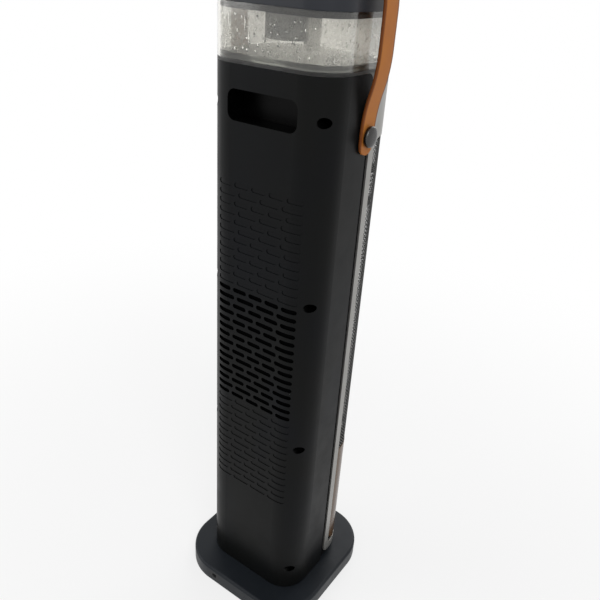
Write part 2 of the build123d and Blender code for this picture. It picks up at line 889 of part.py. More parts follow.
# Silver front frame: side strips, top band and sill round one wrap-around opening
with BuildPart() as front_frame:
    add(tower_wall(frame_low, frame_top, 0, frame_wall))
    add(
        side_block(frame_rear_edge, -far, frame_low, frame_top, frame_low_r, 0),
        mode=Mode.INTERSECT,
    )
    add(
        side_block(opening_edge, -far, opening_low, opening_top, opening_low_r, opening_top_r),
        mode=Mode.SUBTRACT,
    )
front_frame.part.label = "front_frame"
export_step(front_frame.part, "parts/front_frame.step")

# Glossy panel in the lower part of the opening
panel_corner_r = opening_low_r - seam
with BuildPart() as lower_front_panel:
    add(tower_wall(opening_low + seam, panel_top, lower_panel_inset, lower_panel_wall))
    add(
        side_block(opening_edge - seam, -far, opening_low + seam, panel_top, panel_corner_r, 0),
        mode=Mode.INTERSECT,
    )
lower_front_panel.part.label = "lower_front_panel"
export_step(lower_front_panel.part, "parts/lower_front_panel.step")

# Wrap-around outlet grille: a shell with a closed border and rows of level slits
grille_low = panel_top + seam
grille_high = opening_top - seam
slit_rows = int((grille_high - grille_low - 2 * grille_border) // slit_pitch)
slit_column = body_width / slit_columns
with BuildPart() as front_grille:
    add(tower_wall(grille_low, grille_high, grille_inset, grille_wall))
    add(
        side_block(opening_edge - seam, -far, grille_low, grille_high, 0, opening_top_r - seam),
        mode=Mode.INTERSECT,
    )
    with BuildSketch(Plane.XZ.offset(-(opening_edge - seam - grille_rib_width))):
        with Locations((0, (grille_low + grille_high) / 2)):
            with GridLocations(slit_column, slit_pitch, slit_columns, slit_rows):
                Rectangle(slit_column - grille_rib_width, slit_height)
    extrude(amount=far, mode=Mode.SUBTRACT)
front_grille.part.label = "front_grille"
export_step(front_grille.part, "parts/front_grille.step")

# Blower duct between two decks: the scroll wall that the wheel blows along
duct_end_y = rail_front - duct_overhang
duct_turn_y = rail_front + duct_mouth_depth
with BuildPart() as scroll_wall:
    with BuildSketch(Plane.XY.offset(deck_low)):
        with BuildLine():
            ThreePointArc(
                (scroll_start_x, wheel_y + scroll_start_y),
                (scroll_mid_x, wheel_y + scroll_mid_y),
                (duct_mouth_half, duct_turn_y),
            )
            Line((duct_mouth_half, duct_turn_y), (duct_mouth_half, duct_end_y))
        trace(line_width=duct_wall)
    extrude(amount=blower_length)
scroll_wall.part.label = "scroll_wall"
export_step(scroll_wall.part, "parts/scroll_wall.step")

# Tongue wall on the other side, folded towards the wheel
tongue_x = wheel_r + wheel_gap + duct_wall
with BuildPart() as tongue_wall:
    with BuildSketch(Plane.XY.offset(deck_low)):
        with BuildLine():
            Polyline(
                (-duct_mouth_half, duct_end_y),
                (-duct_mouth_half, duct_turn_y),
                (-tongue_x, wheel_y - tongue_drop),
                (-duct_mouth_half, wheel_y + tongue_rise),
            )
        trace(line_width=duct_wall)
    extrude(amount=blower_length)
tongue_wall.part.label = "tongue_wall"
export_step(tongue_wall.part, "parts/tongue_wall.step")

# Fan motor under the lower deck
fan_motor_top = deck_low - deck_t
fan_motor_low = fan_motor_top - fan_motor_height
with BuildPart() as fan_motor:
    add(rod_along_z(0, wheel_y, fan_motor_low, fan_motor_top, fan_motor_r))
    fillet(fan_motor.faces().sort_by(Axis.Z)[0].edges(), fan_motor_edge_r)
    add(
        rod_along_z(
            0,
            wheel_y,
            fan_motor_top - fan_shaft_reach - screw_spare,
            fan_motor_top,
            shaft_r + running_gap,
        ),
        mode=Mode.SUBTRACT,
    )
fan_motor.part.label = "fan_motor"
export_step(fan_motor.part, "parts/fan_motor.step")

# Top bearing of the blower shaft
with BuildPart() as shaft_bearing:
    add(rod_along_z(0, wheel_y, deck_high, deck_high + deck_t, bearing_r))
    bearing_top = deck_high + deck_t + bearing_flange_t
    add(rod_along_z(0, wheel_y, deck_high + deck_t, bearing_top, bearing_r + bearing_flange))
    add(
        rod_along_z(0, wheel_y, deck_high, bearing_top, shaft_r + running_gap),
        mode=Mode.SUBTRACT,
    )
shaft_bearing.part.label = "shaft_bearing"
export_step(shaft_bearing.part, "parts/shaft_bearing.step")

# Blower shaft from the motor to the top bearing
blower_shaft_low = fan_motor_top - fan_shaft_reach
with BuildPart() as blower_shaft:
    add(rod_along_z(0, wheel_y, blower_shaft_low, deck_high + deck_t + shaft_stub, shaft_r))
blower_shaft.part.label = "blower_shaft"
export_step(blower_shaft.part, "parts/blower_shaft.step")

# Crossflow wheel: curved blades between end discs, tied by rings
blade_root = wheel_r - blade_depth
blade_mid = wheel_r - blade_depth / 2
blade_tip = wheel_r - blade_tip_gap
wheel_low = deck_low + wheel_end_gap
wheel_high = deck_high - wheel_end_gap
ring_step = (wheel_high - wheel_low - wheel_disc_t) / (wheel_rings + 1)
with BuildSketch() as blade:
    with BuildLine():
        ThreePointArc((blade_root, 0), (blade_mid, blade_bow), (blade_tip, blade_lean))
        Line((blade_tip, blade_lean), (blade_tip, blade_lean + blade_t))
        ThreePointArc(
            (blade_tip, blade_lean + blade_t),
            (blade_mid, blade_bow + blade_t),
            (blade_root, blade_t),
        )
        Line((blade_root, blade_t), (blade_root, 0))
    make_face()
with BuildPart() as blower_wheel:
    with BuildSketch(Plane.XY.offset(wheel_low)):
        with Locations((0, wheel_y)):
            with PolarLocations(0, blade_count):
                add(blade.sketch)
    extrude(amount=wheel_high - wheel_low)
    for ring in range(1, wheel_rings + 1):
        with BuildSketch(Plane.XY.offset(wheel_low + ring * ring_step)):
            with Locations((0, wheel_y)):
                Circle(wheel_r)
                Circle(wheel_r - blade_depth - ring_overlap, mode=Mode.SUBTRACT)
        extrude(amount=wheel_disc_t)
    for level in (wheel_low, wheel_high - wheel_disc_t):
        with BuildSketch(Plane.XY.offset(level)):
            with Locations((0, wheel_y)):
                Circle(wheel_r)
                Circle(shaft_r, mode=Mode.SUBTRACT)
        extrude(amount=wheel_disc_t)
blower_wheel.part.label = "blower_wheel"
export_step(blower_wheel.part, "parts/blower_wheel.step")

# Heater frame in front of the blower
heater_mid_y = (heater_rear + heater_front) / 2
heater_mid_z = (heater_low + heater_high) / 2
heater_length = heater_high - heater_low
window_width = heater_width - 2 * heater_border
window_length = heater_length - 4 * heater_border
with BuildPart() as heater_frame:
    with BuildSketch(Plane.XZ.offset(-heater_rear)):
        with Locations((0, heater_mid_z)):
            Rectangle(heater_width, heater_length)
            Rectangle(window_width, window_length, mode=Mode.SUBTRACT)
    extrude(amount=heater_depth)
heater_frame.part.label = "heater_frame"
export_step(heater_frame.part, "parts/heater_frame.step")

# Heating bars: flat upright rods with the ceramic stones inside
bar_length = window_length - 2 * seam
with BuildPart() as heater_bars_group:
    with BuildSketch(Plane.XY.offset(heater_mid_z - bar_length / 2)):
        with Locations((0, heater_mid_y)):
            with GridLocations(window_width / heater_bars, 1, heater_bars, 1):
                Rectangle(heater_bar_t, heater_bar_depth)
    extrude(amount=bar_length)
heater_bars_group.part.label = "heater_bars"
export_step(heater_bars_group.part, "parts/heater_bars.step")

# Aluminium fins threaded on the heating bars
fin_count = int((bar_length - 2 * heater_fin_pitch) // heater_fin_pitch)
fin_low = heater_mid_z - fin_count * heater_fin_pitch / 2
fin_width = window_width - 2 * seam
with BuildPart() as heater_fins:
    for fin in range(fin_count + 1):
        with BuildSketch(Plane.XY.offset(fin_low + fin * heater_fin_pitch)):
            with Locations((0, heater_mid_y)):
                Rectangle(fin_width, heater_fin_depth)
    extrude(amount=heater_fin_t)
    with BuildSketch(Plane.XY.offset(fin_low)):
        with Locations((0, heater_mid_y)):
            with GridLocations(fin_width - heater_fin_t, 1, 2, 1):
                Rectangle(heater_fin_t, heater_fin_depth)
    extrude(amount=fin_count * heater_fin_pitch + heater_fin_t)
    with BuildSketch(Plane.XY.offset(fin_low)):
        with Locations((0, heater_mid_y)):
            with GridLocations(window_width / heater_bars, 1, heater_bars, 1):
                Rectangle(heater_bar_t, heater_bar_depth)
    extrude(amount=fin_count * heater_fin_pitch + heater_fin_t, mode=Mode.SUBTRACT)
heater_fins.part.label = "heater_fins"
export_step(heater_fins.part, "parts/heater_fins.step")

# Thermal cut-out on the heater frame's top rail
cutout_level = heater_high - heater_border
with BuildPart() as thermal_cutout:
    add(rods_along_y([(0, cutout_level)], heater_front - cutout_t, heater_front, cutout_r))
    with BuildSketch(Plane.XZ.offset(-heater_front)):
        with Locations((0, cutout_level)):
            SlotOverall(4 * cutout_r, cutout_r)
    extrude(amount=cutout_plate_t)
thermal_cutout.part.label = "thermal_cutout"
export_step(thermal_cutout.part, "parts/thermal_cutout.step")

# Ultrasonic mist maker, hung in the top deck and through the tank floor
tank_floor_top = cover_top + tank_floor_t
with BuildPart() as atomizer:
    deck_under = top_deck_top - top_deck_t
    atomizer_top = tank_floor_top + atomizer_rim
    flange_low = deck_under - atomizer_flange_t
    add(rod_along_z(0, atomizer_y, deck_under - atomizer_drop, atomizer_top, atomizer_r))
    add(rod_along_z(0, atomizer_y, flange_low, deck_under, atomizer_r + atomizer_flange))
    add(
        rod_along_z(0, atomizer_y, tank_floor_top, atomizer_top, atomizer_r - atomizer_lip),
        mode=Mode.SUBTRACT,
    )
atomizer.part.label = "atomizer"
export_step(atomizer.part, "parts/atomizer.step")

# Clear water tank with a front skirt that wraps round the cover's top corner
tank_rim = tank_top - seam
with BuildPart() as water_tank:
    add(tower_wall(cover_top - tank_skirt, tank_rim, 0, tank_wall))
    skirt_cut = side_block(tank_skirt_edge - seam, far, 0, cover_top, 0, cover_top_r)
    add(skirt_cut, mode=Mode.SUBTRACT)
    add(tower_outline(Plane.XY.offset(cover_top), tank_wall / 2))
    extrude(amount=tank_floor_t)
    add(
        rod_along_z(0, atomizer_y, cover_top, tank_floor_top, atomizer_r + screw_gap),
        mode=Mode.SUBTRACT,
    )
water_tank.part.label = "water_tank"
export_step(water_tank.part, "parts/water_tank.step")

# Plate under the cap with the rim that plugs into the tank
rim_inset = tank_wall + seal_t + 2 * screw_gap
with BuildPart() as cap_floor:
    add(tower_outline(Plane.XY.offset(tank_top), cap_wall + seam))
    extrude(amount=cap_floor_t)
    add(tower_wall(tank_top - cap_rim_depth, tank_top, rim_inset, cap_rim_wall))
    add(rod_along_z(0, neck_y, tank_top, tank_top + cap_floor_t, neck_r + screw_gap), mode=Mode.SUBTRACT)
    add(
        rod_along_z(0, atomizer_y, tank_top, tank_top + cap_floor_t, mist_tube_r + screw_gap),
        mode=Mode.SUBTRACT,
    )
cap_floor.part.label = "cap_floor"
export_step(cap_floor.part, "parts/cap_floor.step")

# Rubber seal between the rim and the tank wall
seal_low = tank_top - cap_rim_depth + seal_setback
with BuildPart() as tank_seal:
    add(tower_wall(seal_low, seal_low + seal_height, tank_wall + screw_gap, seal_t))
tank_seal.part.label = "tank_seal"
export_step(tank_seal.part, "parts/tank_seal.step")

# Filling neck that hangs from the cap into the tank
with BuildPart() as fill_neck:
    add(rod_along_z(0, neck_y, tank_top - neck_drop, cap_underside, neck_r))
    add(rod_along_z(0, neck_y, cap_underside - neck_flange_t, cap_underside, neck_r + neck_flange))
    add(rod_along_z(0, neck_y, tank_top - neck_drop, cap_underside, neck_r - neck_wall), mode=Mode.SUBTRACT)
fill_neck.part.label = "fill_neck"
export_step(fill_neck.part, "parts/fill_neck.step")

# Mist tube from above the mist maker up to the cap
with BuildPart() as mist_tube:
    add(rod_along_z(0, atomizer_y, tank_floor_top + mist_tube_lift, cap_underside, mist_tube_r))
    add(
        rod_along_z(
            0,
            atomizer_y,
            tank_floor_top + mist_tube_lift,
            cap_underside,
            mist_tube_r - mist_tube_wall,
        ),
        mode=Mode.SUBTRACT,
    )
mist_tube.part.label = "mist_tube"
export_step(mist_tube.part, "parts/mist_tube.step")

# Top cap with holes for the neck, the mist outlet and the buttons, and two hinge ears
hinge_y = neck_y + flap_depth / 2 + hinge_barrel_r + seam
hinge_level = cap_top + hinge_barrel_r + seam
ear_x = hinge_barrel_length / 2 + seam + hinge_ear_t / 2
button_middle = (len(button_names) - 1) / 2
button_row = [((index - button_middle) * button_pitch, button_y) for index in range(len(button_names))]
hinge_point = [(hinge_y, hinge_level)]
ear_middle = (cap_top + hinge_level - hinge_ear_root) / 2
ear_height = hinge_level - cap_top + hinge_ear_root
board_top = cap_underside - button_flange - button_travel - switch_height - seam
board_posts = (
    control_board_width - 2 * board_post_inset,
    control_board_depth - 2 * board_post_inset,
    2,
    2,
)
with BuildPart() as top_cap:
    add(tower_outline(Plane.XY.offset(tank_top), 0))
    extrude(amount=cap_height)
    fillet(top_cap.faces().sort_by(Axis.Z)[-1].edges(), cap_edge_r)
    add(tower_outline(Plane.XY.offset(tank_top), cap_wall))
    extrude(amount=cap_height - cap_roof, mode=Mode.SUBTRACT)
    with BuildSketch(Plane.XY.offset(board_top)):
        with Locations((0, button_y)):
            with GridLocations(*board_posts):
                Circle(board_post_r)
    extrude(amount=cap_underside - board_top)
    with BuildSketch(Plane.YZ.offset(ear_x - hinge_ear_t / 2)):
        with Locations((hinge_y, hinge_level)):
            Circle(hinge_barrel_r)
        with Locations((hinge_y, ear_middle)):
            Rectangle(2 * hinge_barrel_r, ear_height)
    extrude(amount=hinge_ear_t)
    with BuildSketch(Plane.YZ.offset(-ear_x - hinge_ear_t / 2)):
        with Locations((hinge_y, hinge_level)):
            Circle(hinge_barrel_r)
        with Locations((hinge_y, ear_middle)):
            Rectangle(2 * hinge_barrel_r, ear_height)
    extrude(amount=hinge_ear_t)
    add(rods_along_x(hinge_point, -far, far, hinge_pin_r + screw_gap), mode=Mode.SUBTRACT)
    add(rod_along_z(0, neck_y, cap_underside, cap_top, neck_r - neck_wall), mode=Mode.SUBTRACT)
    add(rod_along_z(0, atomizer_y, cap_underside, cap_top, mist_tube_r), mode=Mode.SUBTRACT)
    with BuildSketch(Plane.XY.offset(cap_underside)):
        with Locations(button_row):
            Circle(button_r + button_gap)
    extrude(amount=cap_roof, mode=Mode.SUBTRACT)
top_cap.part.label = "top_cap"
export_step(top_cap.part, "parts/top_cap.step")

# Trim ring of the mist outlet
with BuildPart() as mist_outlet:
    add(rod_along_z(0, atomizer_y, cap_underside, cap_top, mist_tube_r - screw_gap))
    add(rod_along_z(0, atomizer_y, cap_top, cap_top + outlet_rim_t, mist_tube_r + outlet_rim))
    fillet(mist_outlet.faces().sort_by(Axis.Z)[-1].edges(), soft_edge_r)
    add(
        rod_along_z(
            0,
            atomizer_y,
            cap_underside,
            cap_top + outlet_rim_t,
            mist_tube_r - mist_tube_wall,
        ),
        mode=Mode.SUBTRACT,
    )
mist_outlet.part.label = "mist_outlet"
export_step(mist_outlet.part, "parts/mist_outlet.step")

# Control board under the buttons, with one switch for each
with BuildPart() as control_board:
    with BuildSketch(Plane.XY.offset(board_top - board_t)):
        with Locations((0, button_y)):
            Rectangle(control_board_width, control_board_depth)
    extrude(amount=board_t)
    with BuildSketch(Plane.XY.offset(board_top)):
        with Locations(button_row):
            Rectangle(switch_width, switch_width)
    extrude(amount=switch_height)
control_board.part.label = "control_board"
export_step(control_board.part, "parts/control_board.step")

# Push buttons on the cap, each kept in by a flange under the roof
for name, place in zip(button_names, button_row):
    with BuildPart() as button:
        flange_top = cap_underside - seam
        add(rod_along_z(*place, flange_top - button_flange, flange_top, button_r + button_lip))
        add(rod_along_z(*place, flange_top, cap_top + button_proud, button_r))
        fillet(button.faces().sort_by(Axis.Z)[-1].edges(), soft_edge_r)
    button.part.label = name
    export_step(button.part, f"parts/{name}.step")

# Flap over the filling neck
with BuildPart() as fill_flap:
    with BuildSketch(Plane.XY.offset(cap_top)):
        with Locations((0, neck_y)):
            RectangleRounded(flap_width, flap_depth, flap_corner_r)
    extrude(amount=flap_t)
    fillet(fill_flap.faces().sort_by(Axis.Z)[-1].edges(), soft_edge_r)
    with BuildSketch(Plane.YZ.offset(-hinge_barrel_length / 2)):
        with Locations((hinge_y, hinge_level)):
            Circle(hinge_barrel_r)
        with Locations((hinge_y - hinge_barrel_r, cap_top + seam + flap_t / 2)):
            Rectangle(2 * hinge_barrel_r, flap_t)
    extrude(amount=hinge_barrel_length)
    add(rods_along_x(hinge_point, -far, far, hinge_pin_r + running_gap), mode=Mode.SUBTRACT)
fill_flap.part.label = "fill_flap"
export_step(fill_flap.part, "parts/fill_flap.step")

# Pin of the flap
with BuildPart() as flap_pin:
    pin_half = ear_x + hinge_ear_t / 2
    add(rods_along_x(hinge_point, -pin_half, pin_half, hinge_pin_r))
flap_pin.part.label = "flap_pin"
export_step(flap_pin.part, "parts/flap_pin.step")

# Studs with broad heads that hold the strap, one on each side
strap_inner = body_half + seam / 3 + washer_t + seam / 3
strap_outer = strap_inner + strap_t
knob_face = strap_outer + knob_standoff
with BuildPart() as strap_knobs:
    shank_start = chassis_half - knob_boss_length + screw_spare
    add(rods_along_x(knob_point, knob_face, knob_face + knob_t, knob_r))
    fillet(strap_knobs.faces().sort_by(Axis.X)[-1].edges(), knob_edge_r)
    chamfer(strap_knobs.faces().sort_by(Axis.X)[0].edges(), knob_back_edge)
    add(rods_along_x(knob_point, shank_start, knob_face, stud_r))
    mirror(about=Plane.YZ)
strap_knobs.part.label = "strap_knobs"
export_step(strap_knobs.part, "parts/strap_knobs.step")

# Washers between the strap and the cover
with BuildPart() as strap_washers:
    washer_low = body_half + seam / 3
    add(rods_along_x(knob_point, washer_low, washer_low + washer_t, washer_r))
    add(
        rods_along_x(knob_point, washer_low, washer_low + washer_t, stud_r + running_gap),
        mode=Mode.SUBTRACT,
    )
    mirror(about=Plane.YZ)
strap_washers.part.label = "strap_washers"
export_step(strap_washers.part, "parts/strap_washers.step")


def strap_side(face_offset):
    """Half of one face of the strap in the XZ plane, face_offset outwards from its inner face."""
    turn = 2 * math.atan(strap_bow / strap_rise)
    middle_r = strap_rise / 2 / math.sin(turn)
    half_t = strap_t / 2
    foot_x = strap_inner + half_t
    bend_low = knob_level + strap_flat
    bend_high = bend_low + strap_rise
    arch_level = bend_high + strap_straight
    out_r = middle_r + half_t - face_offset
    in_r = middle_r - half_t + face_offset
    arch_r = foot_x + strap_bow - half_t + face_offset
    low_centre = foot_x + middle_r
    high_centre = foot_x + strap_bow - middle_r
    return {
        "tail": (foot_x - half_t + face_offset, knob_level - strap_tail),
        "bend_low": (foot_x - half_t + face_offset, bend_low),
        "bend_low_mid": (
            low_centre - out_r * math.cos(turn / 2),
            bend_low + out_r * math.sin(turn / 2),
        ),
        "bend_mid": (low_centre - out_r * math.cos(turn), bend_low + out_r * math.sin(turn)),
        "bend_high_mid": (
            high_centre + in_r * math.cos(turn / 2),
            bend_high - in_r * math.sin(turn / 2),
        ),
        "bend_high": (high_centre + in_r, bend_high),
        "arch_start": (arch_r, arch_level),
        "arch_top": (0, arch_level + arch_r),
    }


def strap_face_line(points, side):
    """Line of one strap face on one side, from its tail up to the start of the arch."""
    place = {key: (side * x, z) for key, (x, z) in points.items()}
    Line(place["tail"], place["bend_low"])
    ThreePointArc(place["bend_low"], place["bend_low_mid"], place["bend_mid"])
    ThreePointArc(place["bend_mid"], place["bend_high_mid"], place["bend_high"])
    Line(place["bend_high"], place["arch_start"])


# Leather strap: flat ends on the studs, a bow outwards, and a round arch over the cap
inner_face = strap_side(0)
outer_face = strap_side(strap_t)
with BuildPart() as carry_strap:
    with BuildSketch(Plane.XZ.offset(-knob_y)):
        with BuildLine():
            for face in (inner_face, outer_face):
                strap_face_line(face, 1)
                strap_face_line(face, -1)
                arch_x, arch_z = face["arch_start"]
                ThreePointArc((arch_x, arch_z), face["arch_top"], (-arch_x, arch_z))
            for side in (-1, 1):
                tail_x, tail_z = inner_face["tail"]
                Line((side * tail_x, tail_z), (side * (tail_x + strap_t), tail_z))
        make_face()
    extrude(amount=strap_width / 2, both=True)
    tail_edges = carry_strap.edges().filter_by(Axis.X).group_by(Axis.Z)[0]
    fillet(tail_edges, strap_end_r)
    add(
        rods_along_x(knob_point, -far, far, stud_r + running_gap),
        mode=Mode.SUBTRACT,
    )
carry_strap.part.label = "carry_strap"
export_step(carry_strap.part, "parts/carry_strap.step")
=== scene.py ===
import json
import math
import random

import bmesh
import bpy
from mathutils import Matrix, Vector


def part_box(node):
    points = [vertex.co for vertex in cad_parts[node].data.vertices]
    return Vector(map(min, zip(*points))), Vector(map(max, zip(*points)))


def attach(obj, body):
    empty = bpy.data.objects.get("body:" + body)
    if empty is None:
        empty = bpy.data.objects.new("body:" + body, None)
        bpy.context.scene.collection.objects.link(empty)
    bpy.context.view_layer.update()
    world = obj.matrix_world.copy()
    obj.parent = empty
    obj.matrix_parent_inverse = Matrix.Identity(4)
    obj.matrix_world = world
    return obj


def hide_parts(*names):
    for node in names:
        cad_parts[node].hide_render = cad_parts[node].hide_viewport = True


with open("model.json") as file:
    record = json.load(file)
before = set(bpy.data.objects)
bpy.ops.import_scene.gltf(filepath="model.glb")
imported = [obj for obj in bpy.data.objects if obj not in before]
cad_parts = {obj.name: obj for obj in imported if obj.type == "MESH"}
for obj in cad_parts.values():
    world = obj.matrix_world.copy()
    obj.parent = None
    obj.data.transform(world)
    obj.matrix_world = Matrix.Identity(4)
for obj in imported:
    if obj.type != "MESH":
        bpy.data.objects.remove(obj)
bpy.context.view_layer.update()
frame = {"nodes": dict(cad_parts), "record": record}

# Lengths are in metres, in the frame of the CAD: origin under the stand, -Y to the front, +Z up.
MM = 0.001
random.seed(7)

nodes = frame["nodes"]
slot_of = {row["node"]: row["material_slot"] for row in frame["record"]["subparts"]}

# Camera, fitted to the photograph's outlines, with its angles in degrees
CAMERA_PLACE = (-0.3899, 0.5639, 0.7968)
CAMERA_AZIMUTH = 213.75
CAMERA_PITCH = 28.03
CAMERA_ROLL = 4.02
CAMERA_LENS = 38.34
SENSOR_WIDTH = 36.0

# Strength of the white surroundings where they light the object, and where they are looked at
WORLD_LIGHT = 0.42
WORLD_SEEN = 1.0

# Floor: its own grey, and the share of plain white seen over it, which rises away from the object
FLOOR_HALF = 12.0
FLOOR_GREY = 0.86
FLOOR_FADE_START = 0.25
FLOOR_FADE_END = 1.3
FLOOR_WHITE_NEAR = 0.72

# Boxes of the nodes that the pieces here are fitted to
_, cover_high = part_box("rear_cover")
frame_low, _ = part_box("front_frame")
grille_low, grille_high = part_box("front_grille")
_, tank_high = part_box("water_tank")
strap_low, strap_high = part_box("carry_strap")
knob_low, knob_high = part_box("strap_knobs")
_, washer_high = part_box("strap_washers")

# Tower in plan
BODY_HALF = cover_high.x
BODY_REAR = cover_high.y
BODY_FRONT = frame_low.y
REAR_CORNER = 36 * MM
FRONT_CORNER = 45 * MM

# Depth under the cover's skin where the painted shade inside its slots and wells begins, and where it is full
SLOT_SHADE_START = 0.8 * MM
SLOT_SHADE_FULL = 1.1 * MM

# Water tank
TANK_WALL = 2.5 * MM
TANK_FLOOR = cover_high.z + 3 * MM
TANK_TOP = tank_high.z
WATER_DEPTH = 4.6 * MM

# Clearing in the mist on the rear wall, where the filling neck shows through
CLEARING_MIDDLE = (-22 * MM, BODY_REAR, TANK_TOP - 6 * MM)
CLEARING_HALF = (24 * MM, 20 * MM, 22 * MM)

# Drops on the tank's walls: sizes to draw from, and the few that have run down
DROP_COUNT = 900
DROP_SIZES = [size * MM for size in (0.3, 0.35, 0.45, 0.45, 0.6, 0.9, 1.3)]
DROP_BULGE = 0.55
RUN_CHANCE = 0.03
RUN_SIZE = 0.8 * MM

# Strap: straight tail to STRAP_FLAT over the stud, then the rise in which it bows out to the arch
STRAP_MIDDLE_Y = (strap_low.y + strap_high.y) / 2
STRAP_HALF_WIDTH = (strap_high.y - strap_low.y) / 2
STRAP_THICK = 3 * MM
STRAP_FLAT = 2.5 * MM
STRAP_RISE = 80 * MM
STRAP_END_R = 12.5 * MM
STRAP_GAP = 0.1 * MM

# Studs
STUD_Y = (knob_low.y + knob_high.y) / 2
STUD_Z = (knob_low.z + knob_high.z) / 2
STUD_R = (knob_high.z - knob_low.z) / 2
SHANK_R = 3.0 * MM
SHANK_DEPTH = 15 * MM
STUD_HEAD = 5.8 * MM
STUD_DOME = 3.0 * MM

# Grille mesh: width of a diamond hole from corner to corner, and how far the mesh lies under the skin
MESH_PITCH = 4.8 * MM
MESH_WIRE = 0.9 * MM
MESH_INSET = 1.2 * MM
MESH_CORNER = 11.7 * MM

# Most of a noise texture lies between these values.
NOISE_LOW = 0.3
NOISE_HIGH = 0.7


# Node helpers

class Graph:
    """Node tree of a material or the world, with short calls that add and join its nodes."""

    def __init__(self, tree):
        self.tree = tree

    def feed(self, target, value):
        """Input joined to another node's output, or set to a constant."""
        if isinstance(value, bpy.types.NodeSocket):
            self.tree.links.new(value, target)
        else:
            target.default_value = value

    def give(self, node, **values):
        """Each value put in the node's setting of that name, or else in its input, with _ for a space."""
        for key, value in values.items():
            if hasattr(node, key):
                setattr(node, key, value)
            else:
                self.feed(node.inputs[key.replace("_", " ")], value)

    def add(self, kind, **values):
        """New node with its settings and inputs."""
        node = self.tree.nodes.new(kind)
        self.give(node, **values)
        return node

    def calc(self, operation, *values, kind="ShaderNodeMath", **settings):
        """Result of a maths node over outputs or constants."""
        node = self.add(kind, operation=operation, **settings)
        for target, value in zip(node.inputs, values):
            self.feed(target, value)
        return next(result for result in node.outputs if result.enabled)

    def calc_vector(self, operation, *values):
        """Result of a vector maths node over outputs or constants."""
        return self.calc(operation, *values, kind="ShaderNodeVectorMath")

    def place(self):
        """Place on the object, in metres."""
        return self.add("ShaderNodeTexCoord").outputs["Object"]

    def along(self, axis):
        """Place on the object along one axis, in metres."""
        return self.add("ShaderNodeSeparateXYZ", Vector=self.place()).outputs[axis]

    def grain(self, scale, detail=4.0, roughness=0.55, stretch=(1, 1, 1)):
        """Noise of scale cycles per metre, times stretch along each axis."""
        mapping = self.add("ShaderNodeMapping", Vector=self.place(), Scale=stretch)
        noise = self.add(
            "ShaderNodeTexNoise",
            Vector=mapping.outputs["Vector"],
            Scale=scale,
            Detail=detail,
            Roughness=roughness,
        )
        return noise.outputs["Fac"]

    def ramp(self, factor, stops):
        """Colour ramp over factor, with stops of (position, colour)."""
        node = self.add("ShaderNodeValToRGB", Fac=factor)
        elements = node.color_ramp.elements
        while len(elements) < len(stops):
            elements.new(0.5)
        for element, (position, colour) in zip(elements, stops):
            element.position = position
            element.color = (*colour, 1)
        return node.outputs["Color"]

    def drift(self, noise, first, second):
        """Colour that drifts between first and second over a noise."""
        return self.ramp(noise, [(NOISE_LOW, first), (NOISE_HIGH, second)])

    def remap(self, noise, low, high):
        """Noise spread over low to high."""
        node = self.add(
            "ShaderNodeMapRange", Value=noise, From_Min=NOISE_LOW, From_Max=NOISE_HIGH, To_Min=low, To_Max=high
        )
        return node.outputs["Result"]

    def rise(self, value, start, end, low=0.0, high=1.0):
        """Smooth change from low, where value is start, to high, where it is end."""
        node = self.add(
            "ShaderNodeMapRange",
            interpolation_type="SMOOTHSTEP",
            Value=value,
            From_Min=start,
            From_Max=end,
            To_Min=low,
            To_Max=high,
        )
        return node.outputs["Result"]

    def blend(self, factor, colour, other, blend_type="MIX"):
        """Colour blended with other by factor."""
        node = self.add("ShaderNodeMix", data_type="RGBA", blend_type=blend_type, Factor=factor, A=colour, B=other)
        return node.outputs["Result"]

    def bump(self, shader, height, strength, distance, under=None):
        """Bump from height, strength 0..1 and distance in metres, over an earlier bump if given."""
        node = self.add("ShaderNodeBump", Height=height, Strength=strength, Distance=distance)
        if under is not None:
            self.feed(node.inputs["Normal"], under)
        self.feed(shader.inputs["Normal"], node.outputs["Normal"])
        return node.outputs["Normal"]

    def looked_at(self):
        """1 for rays from the camera, glass or gloss, 0 for those that only carry light to the object."""
        rays = self.add("ShaderNodeLightPath").outputs
        seen = self.calc("MAXIMUM", rays["Is Camera Ray"], rays["Is Transmission Ray"])
        return self.calc("MAXIMUM", seen, rays["Is Glossy Ray"])


def new_material(name):
    """Plain material, the graph of its nodes, and its shader."""
    material = bpy.data.materials.new(name)
    material.use_nodes = True
    tree = material.node_tree
    return material, Graph(tree), tree.nodes["Principled BSDF"]


def shade(colour, factor):
    """Colour made lighter or darker by factor."""
    return tuple(min(1.0, c * factor) for c in colour)


# Finishes

def moulded(name, colour, rough, cycles=2600, texture=0.25, spread=0.12, gloss=0.5):
    """Moulded plastic: fine spark texture, slow colour drift and slightly uneven gloss."""
    material, graph, shader = new_material(name)
    slow = graph.grain(9.0, 3.0)
    wear = graph.grain(60.0, 6.0)
    fine = graph.grain(cycles, 2.0)
    graph.give(
        shader,
        Base_Color=graph.drift(slow, shade(colour, 1 - spread), shade(colour, 1 + spread)),
        Roughness=graph.remap(wear, rough - 0.04, rough + 0.05),
    )
    shader.inputs["Specular IOR Level"].default_value = gloss
    graph.bump(shader, fine, texture, 0.06 * MM)
    return material


def metal(name, colour, rough, brushed=(1, 1, 1)):
    """Metal with a faint rolled skin, or brushed where its grain is finer across than along."""
    material, graph, shader = new_material(name)
    slow = graph.grain(25.0)
    fine = graph.grain(700.0, 5.0, stretch=brushed)
    graph.give(
        shader,
        Metallic=1.0,
        Base_Color=graph.drift(slow, shade(colour, 0.94), shade(colour, 1.06)),
        Roughness=graph.remap(fine, rough - 0.05, rough + 0.08),
    )
    graph.bump(shader, fine, 0.12, 0.04 * MM)
    return material


